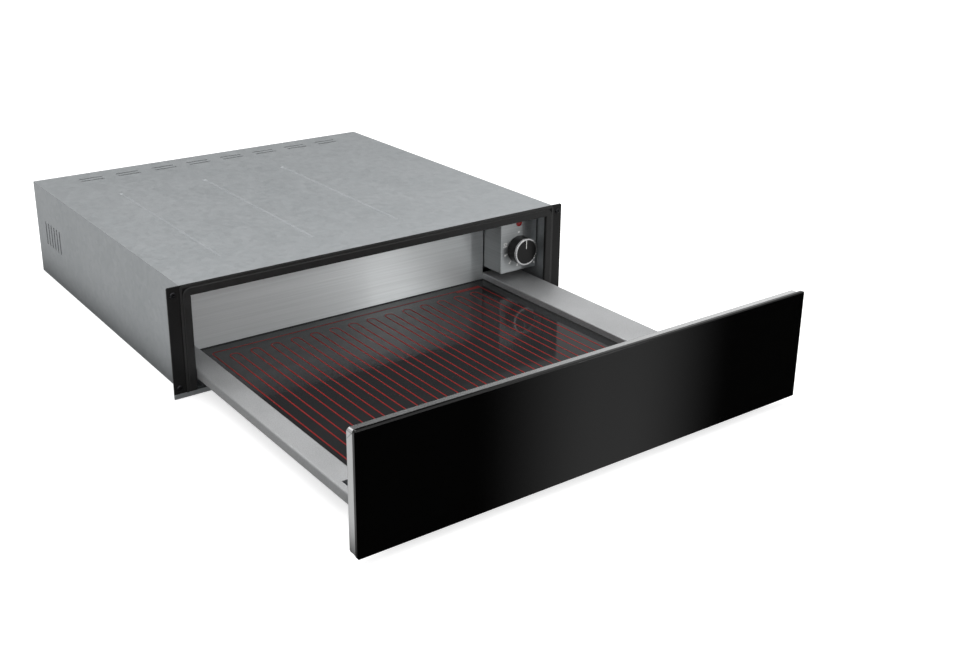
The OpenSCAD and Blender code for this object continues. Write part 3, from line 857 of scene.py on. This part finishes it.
@dataclass
class Shape:
    """A mesh under construction in millimetres, which ends as an object in metres.

    Attributes:
        mesh: the mesh.
        sides: points in each ring of a turned part.
        head_sides: points in each ring of a screw's head.
        smooth_below: edges with a smaller angle, in degrees, are shaded smooth.
    """

    mesh: bmesh.types.BMesh = field(default_factory=bmesh.new)
    sides: int = 20
    head_sides: int = 32
    smooth_below: float = 38.0

    def row(self, points: Iterable[Point3], place: Matrix) -> list[bmesh.types.BMVert]:
        """Adds points, moved to their place."""
        return [self.mesh.verts.new(place @ Vector(p)) for p in points]

    def bands(self, rows: Sequence[Sequence[bmesh.types.BMVert]]) -> None:
        """Joins rows of points, each to the next, with four-sided faces all the way round.

        Args:
            rows: closed rows with as many points each.
        """
        for low, high in zip(rows, rows[1:]):
            for i in range(len(low)):
                j = (i + 1) % len(low)
                self.mesh.faces.new((low[i], low[j], high[j], high[i]))

    def lathe(self, profile: Sequence[Point2], place: Matrix) -> None:
        """Turns a profile about its axis, and closes its top.

        Args:
            profile: radius and height of each ring, from the foot to the top.
            place: where the foot stands.
        """
        rows = [self.row(((x, y, z) for x, y in ring(r, self.sides)), place) for r, z in profile]
        self.bands(rows)
        self.mesh.faces.new(rows[-1])

    def slab(self, outline: Sequence[Point2], height: float, place: Matrix) -> None:
        """Raises an outline to a flat plate.

        Args:
            outline: points of the plate, in order.
            height: thickness of the plate.
            place: where its own origin lies.
        """
        rows = [self.row(((x, y, z) for x, y in outline), place) for z in (0.0, height)]
        self.bands(rows)
        self.mesh.faces.new(rows[1])
        self.mesh.faces.new(rows[0][::-1])

    def stroke(self, path: Sequence[Point2], width: float, height: float, place: Matrix) -> None:
        """Draws a printed line of even width along a path, each part a thin plate.

        Args:
            path: points of the line's middle.
            width: width of the line.
            height: thickness of the print.
            place: where the path's own origin lies.
        """
        for start, end in zip(path, path[1:]):
            along = (Vector(end) - Vector(start)).normalized() * (width / 2)
            side = Vector((-along.y, along.x))
            a, b = Vector(start) - along * 0.5, Vector(end) + along * 0.5
            self.slab([tuple(p) for p in (a - side, b - side, b + side, a + side)], height, place)

    def pan_head(self, radius: float, height: float, place: Matrix) -> None:
        """Builds a pan head with a cross recess cut into its crown.

        Args:
            radius: radius of the head.
            height: height of the crown.
            place: where the head's seat lies.
        """
        crown = [(1.0, 0.0), (1.0, 0.35), (0.93, 0.68), (0.8, 0.9), (0.64, 1.0)]
        rows = [
            self.row(((x, y, height * h) for x, y in ring(radius * r, self.head_sides)), place)
            for r, h in crown
        ]
        self.bands(rows)
        arm, half = radius * 0.52, radius * 0.13
        corner = [(arm, -half), (arm, half), (half, half)]
        cross: list[Point2] = []
        for _ in range(4):
            cross += corner
            corner = [(-y, x) for x, y in corner]
        top = self.row(((x, y, height) for x, y in cross), place)
        taper, floor = 0.7, 0.35
        foot = self.row(((x * taper, y * taper, height * floor) for x, y in cross), place)
        self.bands([foot, top])
        self.mesh.faces.new(foot)
        rims = [
            self.mesh.edges.get((loop[i], loop[(i + 1) % len(loop)]))
            for loop in (rows[-1], top)
            for i in range(len(loop))
        ]
        bmesh.ops.triangle_fill(self.mesh, use_beauty=True, edges=rims)

    def bead(self, path: Sequence[Point2], level: float, section: Sequence[Point2]) -> None:
        """Lays a section along a closed level path, mitred at its corners.

        Args:
            path: corners of the path, in order.
            level: height of the path.
            section: points across the bead: how far in from the path, and how high.
        """
        rows = []
        for i, here in enumerate(path):
            before = (Vector(here) - Vector(path[i - 1])).normalized()
            after = (Vector(path[(i + 1) % len(path)]) - Vector(here)).normalized()
            inward = Vector((-before.y - after.y, before.x + after.x))
            inward /= 1 + before.dot(after)
            points = ((*(Vector(here) + inward * d), level + z) for d, z in section)
            rows.append(self.row(points, Matrix.Identity(4)))
        self.bands([*rows, rows[0]])

    def to_object(self, name: str) -> bpy.types.Object:
        """Ends the mesh.

        Args:
            name: the object's name.

        Returns:
            The object, in metres.
        """
        bmesh.ops.recalc_face_normals(self.mesh, faces=self.mesh.faces)
        for face in self.mesh.faces:
            face.smooth = True
        for edge in self.mesh.edges:
            edge.smooth = edge.calc_face_angle(0.0) < math.radians(self.smooth_below)
        bmesh.ops.scale(self.mesh, vec=(MM,) * 3, verts=self.mesh.verts)
        data = bpy.data.meshes.new(name)
        self.mesh.to_mesh(data)
        self.mesh.free()
        made = bpy.data.objects.new(name, data)
        bpy.context.collection.objects.link(made)
        return made


# ---------- sub-assemblies


@dataclass
class SubAssembly:
    """Nodes that belong together, with the small pieces that the scene adds to them."""

    finishes: ClassVar[Mapping[str, Finish]] = {}

    def build(self, nodes: Mapping[str, bpy.types.Object]) -> None:
        """Dresses the nodes and adds the pieces.

        Args:
            nodes: every CAD node by name.
        """
        for name, finish in self.finishes.items():
            self.dress(nodes[name], finish)
            LOG.info("dressed %s in %s", name, finish.name)
        self.add_pieces()

    def add_pieces(self) -> None:
        """Adds nothing; a sub-assembly with small pieces has its own."""

    @staticmethod
    def dress(node: bpy.types.Object, finish: Finish) -> None:
        """Gives a node its finish in every material slot of its object.

        Args:
            node: the CAD node.
            finish: its finish.
        """
        if not node.material_slots:
            node.data.materials.append(None)
        for place in node.material_slots:
            place.link = "OBJECT"
            place.material = material_of(finish)

    @staticmethod
    def piece(shape: Shape, name: str, body: str, slot: str, finish: Finish) -> None:
        """Ends a small piece and lets it ride.

        Args:
            shape: the finished mesh.
            name: the piece's name.
            body: the CAD body that carries it.
            slot: the record's material slot for it; not used.
            finish: its finish.
        """
        made = shape.to_object(name)
        made.data.materials.append(material_of(finish))
        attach(made, body)
        LOG.info("built %s on %s", name, body)


@dataclass
class Casing(SubAssembly):
    """The galvanised housing with its screws and spot welds."""

    half_w: float = 278.0
    depth: float = 535.0
    screw_r: float = 3.6
    screw_h: float = 2.2
    screw_turn: float = 37.0
    side_screw_x: float = 262.0
    side_screw_z: Point3 = (22.0, 70.0, 122.0)
    top_screw_x: Point3 = (-150.0, 0.0, 150.0)
    top_screw_z: float = 132.0
    weld_r: float = 2.6
    weld_y: range = range(40, 521, 80)
    weld_z: Point2 = (8.0, 132.0)

    finishes = dict.fromkeys(
        ("base_pan", "side_panel_left", "side_panel_right", "top_panel", "back_panel"),
        GALVANISED_SHEET,
    )

    def add_pieces(self) -> None:
        """Screws the back on, and welds the sides to the pan."""
        spots = [(side.value * self.side_screw_x, z) for side in Side for z in self.side_screw_z]
        spots += [(x, self.top_screw_z) for x in self.top_screw_x]
        screws = Shape()
        for i, (x, z) in enumerate(spots):
            place = facing((x, self.depth, z), Axis.BACK, i * self.screw_turn)
            screws.pan_head(self.screw_r, self.screw_h, place)
        self.piece(screws, "back_screws", "casing", "runner_steel", ZINC_PLATED_STRIP)
        for side in Side:
            welds = Shape()
            for z in self.weld_z:
                for y in self.weld_y:
                    self.spot_weld(welds, facing((side.value * self.half_w, y, z), side.way))
            name = f"side_welds_{side.label}"
            self.piece(welds, name, "casing", "galvanised_sheet", GALVANISED_SHEET)

    def spot_weld(self, shape: Shape, place: Matrix) -> None:
        """Adds the low crater that a spot weld leaves."""
        crater = [(1.0, 0.0), (0.86, 0.16), (0.66, 0.14), (0.4, 0.04)]
        shape.lathe([(self.weld_r * share, height) for share, height in crater], place)


@dataclass
class FrontFrame(SubAssembly):
    """The black frame round the opening, its seal and its four screws."""

    face_y: float = -2.0
    hole_x: float = 287.0
    hole_z: Point2 = (13.5, 130.5)
    head_r: float = 3.9
    head_h: float = 1.7
    head_turns: tuple[float, ...] = (12.0, 58.0, 33.0, 80.0)

    finishes = {
        "front_frame": BLACK_POWDER_COAT,
        "seal_carrier": BLACK_POLYPROPYLENE,
        "door_seal": SEAL_SILICONE,
    }

    def add_pieces(self) -> None:
        """Puts a screw in each corner hole, no two turned alike."""
        turns = iter(self.head_turns)
        for side in Side:
            for level, z in zip(("low", "high"), self.hole_z):
                place = facing((side.value * self.hole_x, self.face_y, z), Axis.FRONT, next(turns))
                head = Shape()
                head.pan_head(self.head_r, self.head_h, place)
                name = f"frame_screw_{side.label}_{level}"
                self.piece(head, name, "casing", "black_plastic", BLACK_OXIDE)


@dataclass
class ControlBox(SubAssembly):
    """The steel box with the scale printed round the knob, the lamp and the thermostat."""

    face_y: float = 28.6
    knob_x: float = 243.4
    knob_z: float = 74.6
    mark_r: float = 24.6
    dot_r: float = 1.5
    heats: range = range(-104, -249, -36)
    tick_inset: Point2 = (3.8, 1.6)
    tick_w: float = 1.2
    low_dot_at: Point2 = (-28.6, -25.8)
    low_dot_r: float = 1.3
    cup_turn: float = -67.0
    cup_out: float = 1.2
    bowl_w: float = 1.1
    handle_w: float = 1.0
    ink: float = 0.08

    finishes = {
        "control_box": SATIN_STAINLESS,
        "control_box_cover": GALVANISED_SHEET,
        "indicator_lens": RED_POLYCARBONATE,
        "thermostat_body": PHENOLIC,
    }

    def add_pieces(self) -> None:
        """Prints the scale: a dot for off, a cup, and dots with ticks for the rising heats."""
        marks = Shape()
        self.dot(marks, self.at(0.0, self.mark_r), self.dot_r)
        self.cup(marks, self.at(self.cup_turn, self.mark_r + self.cup_out))
        for turn in self.heats:
            self.dot(marks, self.at(turn, self.mark_r), self.dot_r)
            tick = [self.at(turn, self.mark_r - inset) for inset in self.tick_inset]
            marks.stroke(tick, self.tick_w, self.ink, self.paper())
        self.dot(marks, self.low_dot_at, self.low_dot_r)
        self.piece(marks, "dial_marks", "casing", "white_print", WHITE_INK)

    def paper(self, at: Point2 = (0.0, 0.0)) -> Matrix:
        """Gives the printed plane round a point of it; its X runs to the left, its Y up.

        Args:
            at: the point, from the knob's middle.

        Returns:
            The matrix of the plane, whose Z faces the front.
        """
        turned = Matrix(((-1, 0, 0, 0), (0, 0, -1, 0), (0, 1, 0, 0), (0, 0, 0, 1)))
        middle = Matrix.Translation((self.knob_x, self.face_y, self.knob_z))
        return middle @ turned @ Matrix.Translation((*at, 0.0))

    def at(self, turn: float, radius: float) -> Point2:
        """Gives a point of the print from its angle clockwise from the top, and its radius."""
        angle = math.radians(turn)
        return (-radius * math.sin(angle), radius * math.cos(angle))

    def dot(self, marks: Shape, at: Point2, radius: float) -> None:
        """Prints a round dot at a point of the print."""
        marks.lathe([(radius, 0.0), (radius, self.ink)], self.paper(at))

    def cup(self, marks: Shape, at: Point2) -> None:
        """Prints a small cup on a saucer in thin lines.

        Args:
            marks: the print.
            at: the cup's middle, from the knob's middle.
        """
        place = self.paper(at) @ Matrix.Scale(-1, 4, (1, 0, 0))
        bowl = [(-2.2, 1.7), (-1.8, -1.2), (-0.9, -1.7), (0.9, -1.7), (1.8, -1.2), (2.2, 1.7)]
        handle = [(2.1, 1.2), (3.1, 1.0), (3.4, 0.1), (2.8, -0.7), (1.9, -0.7)]
        saucer = [(-3.1, -3.1), (3.1, -3.1)]
        marks.stroke([*bowl, bowl[0]], self.bowl_w, self.ink, place)
        for line in (handle, saucer):
            marks.stroke(line, self.handle_w, self.ink, place)


@dataclass
class Knob(SubAssembly):
    """The knob with its bright ring and its pointer."""

    finishes = {
        "knob_body": BLACK_ABS,
        "knob_ring": CHROME_PLATE,
        "knob_pointer": WHITE_INK,
        "thermostat_shaft": ZINC_PLATED_STRIP,
    }


@dataclass
class DrawerFront(SubAssembly):
    """The glass front on its folded silver box, with the mitres that its folds leave."""

    side_x: float = 297.0
    front_y: float = -417.2
    back_y: float = -406.8
    low_z: float = 9.0
    high_z: float = 137.3
    seam_gap: float = 0.4
    seam_foot: float = 1.0
    seam_w: float = 0.3
    seam_h: float = 0.04

    finishes = {
        "front_glass": BLACK_GLASS,
        "glue_line": BLACK_SEALANT,
        "front_backing": SILVER_PAINT,
        "front_tie_left": GALVANISED_SHEET,
        "front_tie_right": GALVANISED_SHEET,
    }

    def add_pieces(self) -> None:
        """Draws a mitre line across each end of both side returns."""
        depth = self.back_y - self.front_y
        mitre = ((self.seam_gap, self.seam_foot), (depth - self.seam_gap, depth))
        for side in Side:
            seams = Shape()
            for z, inward in ((self.low_z, 1.0), (self.high_z, -1.0)):
                place = facing((side.value * self.side_x, self.front_y, z), side.way)
                upright = place.to_3x3().inverted()
                path = [upright @ Vector((0.0, back, inward * rise)) for back, rise in mitre]
                seams.stroke([tuple(p.to_2d()) for p in path], self.seam_w, self.seam_h, place)
            self.piece(seams, f"mitre_seams_{side.label}", "drawer", "silver_frame", SEAM_SHADOW)


@dataclass
class Tray(SubAssembly):
    """The steel tray: pan, rail covers and back wall."""

    finishes = {
        "tray_pan": GALVANISED_SHEET,
        "rail_cover_left": BLASTED_STAINLESS,
        "rail_cover_right": BLASTED_STAINLESS,
        "back_wall": BRUSHED_STAINLESS,
        "latch_striker": BLACK_POLYPROPYLENE,
    }


@dataclass
class HeatingPlate(SubAssembly):
    """The heated glass with its printed track, and the bead that seals its edge."""

    left_x: float = -236.7
    right_x: float = 210.7
    front_y: float = -405.8
    back_y: float = 68.4
    top_z: float = 22.6
    bead_w: float = 1.3

    finishes = {
        "heating_plate": HEATING_GLASS,
        "heating_track": RED_PASTE,
        "heater_mat": SILICONE_CLOTH,
        "insulation_board": MINERAL_BOARD,
        "thermal_cutout": PHENOLIC,
    }

    def add_pieces(self) -> None:
        """Runs a hollow-faced bead round the glass where the steel meets it."""
        hollow = [(0.0, 0.0), (1.0, 0.0), (0.55, 0.2), (0.2, 0.55), (0.0, 1.0)]
        section = [(self.bead_w * inward, self.bead_w * up) for inward, up in hollow]
        front = [(self.left_x, self.front_y), (self.right_x, self.front_y)]
        back = [(self.right_x, self.back_y), (self.left_x, self.back_y)]
        seal = Shape()
        seal.bead(front + back, self.top_z, section)
        self.piece(seal, "glass_edge_bead", "drawer", "glue", BLACK_SEALANT)


@dataclass
class Runners(SubAssembly):
    """Both telescopic ball runners with their brackets."""

    finishes = {
        f"{part}_{side.label}": finish
        for part, finish in (
            ("runner_bracket", GALVANISED_SHEET),
            ("cabinet_runner", ZINC_PLATED_STRIP),
            ("middle_runner", ZINC_PLATED_STRIP),
            ("drawer_runner", ZINC_PLATED_STRIP),
            ("outer_cage", CAGE_STRIP),
            ("inner_cage", CAGE_STRIP),
            ("outer_balls", BEARING_STEEL),
            ("inner_balls", BEARING_STEEL),
        )
        for side in Side
    }


@dataclass
class RearParts(SubAssembly):
    """The touch latch and the mains connection."""

    finishes = {
        "latch_body": BLACK_POLYPROPYLENE,
        "latch_plunger": NATURAL_POLYAMIDE,
        "terminal_block": NATURAL_POLYAMIDE,
        "cable_gland": BLACK_POLYPROPYLENE,
    }


# ---------- studio


@dataclass(frozen=True)
class Softbox:
    """A soft lamp of the studio.

    Attributes:
        name: the lamp's name.
        at: its place, in metres.
        size: its width and height, in metres.
        power: its power in watts.
        aim: the point that it faces, in metres.
    """

    name: str
    at: Point3
    size: Point2
    power: float
    aim: Point3 = (0.0, -0.15, 0.07)

    def hang(self) -> None:
        """Makes the lamp and turns it to its aim."""
        data = bpy.data.lights.new(self.name, "AREA")
        data.shape = "RECTANGLE"
        data.size, data.size_y = self.size
        data.energy = self.power
        lamp = bpy.data.objects.new(self.name, data)
        bpy.context.collection.objects.link(lamp)
        lamp.location = self.at
        lamp.rotation_mode = "QUATERNION"
        way = Vector(self.aim) - Vector(self.at)
        lamp.rotation_quaternion = way.to_track_quat("-Z", "Y")


SMOOTH = {"interpolation_type": "SMOOTHSTEP"}


@dataclass(frozen=True)
class Ramp:
    """A smooth change of brightness with some value.

    Attributes:
        start: the value at which the change begins.
        end: the value at which it ends.
        low: the brightness before it.
        high: the brightness after it.
    """

    start: float
    end: float
    low: float = 0.0
    high: float = 1.0

    def over(self, value: Feed) -> dict[str, Any]:
        """Gives the inputs of a map-range node that follows this change over a value."""
        ends = {"From Min": self.start, "From Max": self.end}
        return {"Value": value, **ends, "To Min": self.low, "To Max": self.high}


@dataclass
class Studio:
    """The pale floor, the soft light and the camera, in metres where no name says otherwise."""

    floor_rings_mm: tuple[float, ...] = (400.0, 1200.0, 4000.0, 14000.0)
    floor_sides: int = 64
    floor_drop: float = 0.0006
    board: tuple[str, str] = ("#e9e9e9", "#e6e6e6")
    board_mottle_mm: float = 40.0
    board_light: float = 0.56
    # Painted reflection: glass and metal see the floor as a pale strip fanning out from this point,
    # dark elsewhere in front.
    strip_from: Point2 = (-0.77, 0.384)
    strip_slope: float = 0.965
    strip: Ramp = Ramp(0.02, 0.22, 0.55, 0.01)
    # Painted shade in reflections: the floor is dim within this width under the object, pale
    # outside it.
    beside: Ramp = Ramp(0.3, 0.34, 0.12, 0.8)
    behind: Ramp = Ramp(-0.43, -0.41)
    camera_at: Point3 = (-0.7705, -1.2284, 0.6282)
    camera_yaw: float = 0.6085
    camera_pitch: float = 0.345
    focal_px: float = 1202.3
    width_px: float = 970.0
    sensor_mm: float = 36.0
    shift: Point2 = (0.048, -0.06)
    clip: Point2 = (0.05, 60.0)
    sweep: Ramp = Ramp(-0.1, 0.9, 0.3, 0.85)
    flag_way: Point3 = (0.402, 0.82, 0.407)
    flag: Ramp = Ramp(0.92, 0.975, 1.0, 0.12)
    window_way: Point3 = (0.78, 0.57, 0.259)
    window: Ramp = Ramp(0.93, 0.985, 0.0, 0.6)
    lamps: tuple[Softbox, ...] = (
        Softbox("left_softbox", (-1.9, -0.9, 1.3), (2.4, 1.8), 8.0),
        Softbox("front_softbox", (0.82, -1.9, 0.7), (0.8, 0.9), 6.4, (0.0, 0.07, 0.07)),
        Softbox("narrow_softbox", (1.26, -1.9, 0.7), (0.2, 0.9), 4.0, (0.0, 0.07, 0.07)),
        Softbox("fill_softbox", (-1.1, -1.9, 0.7), (0.9, 0.6), 9.0, (0.2, 0.0, 0.07)),
        Softbox("top_softbox", (0.2, 0.4, 1.9), (2.6, 2.0), 20.0),
    )

    def build(self) -> None:
        """Sets up the whole studio."""
        self.make_camera()
        self.make_floor()
        self.make_world()
        for lamp in self.lamps:
            lamp.hang()
            LOG.info("hung %s", lamp.name)
        bpy.context.scene.view_settings.view_transform = "Standard"

    def make_camera(self) -> None:
        """Puts the camera where the picture was taken from."""
        data = bpy.data.cameras.new("camera")
        data.sensor_width = self.sensor_mm
        data.lens = self.focal_px / self.width_px * self.sensor_mm
        data.shift_x, data.shift_y = self.shift
        data.clip_start, data.clip_end = self.clip
        camera = bpy.data.objects.new("camera", data)
        bpy.context.collection.objects.link(camera)
        camera.location = self.camera_at
        camera.rotation_euler = (math.pi / 2 - self.camera_pitch, 0.0, -self.camera_yaw)
        bpy.context.scene.camera = camera

    def make_floor(self) -> None:
        """Lays a round pale floor that takes the object's shadow."""
        disc = Shape()
        flat = Matrix.Identity(4)
        rows = [
            disc.row(((x, y, 0.0) for x, y in ring(radius, self.floor_sides)), flat)
            for radius in self.floor_rings_mm
        ]
        disc.bands(rows)
        disc.mesh.faces.new(rows[0])
        floor = disc.to_object("floor")
        floor.location = (0.0, 0.0, -self.floor_drop)
        floor.data.materials.append(self.floor_material())
        LOG.info("laid the floor")

    def floor_material(self) -> bpy.types.Material:
        """Makes matt painted board, white to the eye; in reflections it shows a painted pale band
        and painted shade.

        Returns:
            The floor's material.
        """
        material = bpy.data.materials.new("matt_white_painted_board")
        material.use_nodes = True
        material.node_tree.nodes.clear()
        canvas = Canvas(material.node_tree)
        mottle = canvas.noise(self.board_mottle_mm, detail=3.0)
        main, second = map(linear, self.board)
        tints = {SHARE: mottle, FIRST_COLOUR: main, SECOND_COLOUR: second}
        paint = canvas.add("Mix", {"data_type": "RGBA"}, tints).outputs[MIXED_COLOUR]
        board = canvas.add("BsdfDiffuse", inputs={"Color": paint})
        light = canvas.add("Emission", inputs={"Strength": self.board_light})
        lit = canvas.add("AddShader", inputs={0: board, 1: light})
        # Painted reflection and painted shade: this glow is seen by glossy rays only.
        mirrored = canvas.add("Emission", inputs={"Strength": self.floor_glow(canvas)})
        ray = canvas.add("LightPath").outputs
        seen = canvas.add("MixShader", inputs={0: ray["Is Camera Ray"], 1: board, 2: lit})
        shown = canvas.add("MixShader", inputs={0: ray["Is Glossy Ray"], 1: seen, 2: mirrored})
        canvas.add("OutputMaterial", inputs={"Surface": shown})
        return material

    def floor_glow(self, canvas: Canvas) -> Node:
        """Works out how bright the floor looks in glass and metal, as a painted reflection.

        In front of the drawer it is dark, with one pale strip, a painted reflection, fanning out to
        the right.
        Behind the drawer's front it is dim under the object, as painted shade, and pale beside it.

        Args:
            canvas: the floor's nodes.

        Returns:
            The node that gives the brightness.
        """
        spot = canvas.add("SeparateXYZ", inputs={0: canvas.place}).outputs
        from_x, from_y = self.strip_from
        across = canvas.add("Math", {"operation": "SUBTRACT"}, {0: spot["X"], 1: from_x})
        ahead = canvas.add("Math", {"operation": "SUBTRACT"}, {0: from_y, 1: spot["Y"]})
        slope = canvas.add("Math", {"operation": "DIVIDE"}, {0: across, 1: ahead})
        off = canvas.add("Math", {"operation": "SUBTRACT"}, {0: slope, 1: self.strip_slope})
        away, side = (
            canvas.add("Math", {"operation": "ABSOLUTE"}, {0: value}) for value in (off, spot["X"])
        )
        # front is the painted reflection strip; rear is painted shade under the object, pale beside
        # it.
        front, rear, share = (
            canvas.add("MapRange", SMOOTH, ramp.over(value))
            for ramp, value in ((self.strip, away), (self.beside, side), (self.behind, spot["Y"]))
        )
        return canvas.add("Mix", inputs={SHARE: share, FIRST: front, SECOND: rear})

    def make_world(self) -> None:
        """Makes a pale sweep with a dark flag and a bright window, white where it is seen."""
        world = bpy.data.worlds.new("studio")
        bpy.context.scene.world = world
        world.use_nodes = True
        world.node_tree.nodes.clear()
        canvas = Canvas(world.node_tree)
        way = canvas.add("TexCoord").outputs["Generated"]
        height = canvas.add("SeparateXYZ", inputs={0: way}).outputs["Z"]
        near_flag, near_window = (
            canvas.add("VectorMath", {"operation": "DOT_PRODUCT"}, {0: way, 1: middle})
            for middle in (self.flag_way, self.window_way)
        )
        sweep, flag, window = (
            canvas.add("MapRange", SMOOTH, ramp.over(value))
            for ramp, value in (
                (self.sweep, height),
                (self.flag, near_flag.outputs["Value"]),
                (self.window, near_window.outputs["Value"]),
            )
        )
        shaded = canvas.add("Math", {"operation": "MULTIPLY"}, {0: sweep, 1: flag})
        level = canvas.add("Math", {"operation": "ADD"}, {0: shaded, 1: window})
        pale = linear("#ffffff")
        sky, white = (
            canvas.add("Background", inputs={"Color": pale, "Strength": strength})
            for strength in (level, 1.0)
        )
        ray = canvas.add("LightPath").outputs
        rays = {0: ray["Is Camera Ray"], 1: ray["Is Transmission Ray"]}
        direct = canvas.add("Math", {"operation": "MAXIMUM"}, rays)
        shown = canvas.add("MixShader", inputs={0: direct, 1: sky, 2: white})
        canvas.add("OutputWorld", inputs={"Surface": shown})


def main() -> None:
    """Loads the frame, dresses every sub-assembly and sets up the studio."""
    logging.basicConfig(level=logging.INFO, format="%(name)s: %(message)s")
    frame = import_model()
    Studio().build()
    for part in (
        Casing(),
        FrontFrame(),
        ControlBox(),
        Knob(),
        DrawerFront(),
        Tray(),
        HeatingPlate(),
        Runners(),
        RearParts(),
    ):
        part.build(frame["nodes"])
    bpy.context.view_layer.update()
    LOG.info("the warming drawer is dressed")


if __name__ == "__main__":
    main()
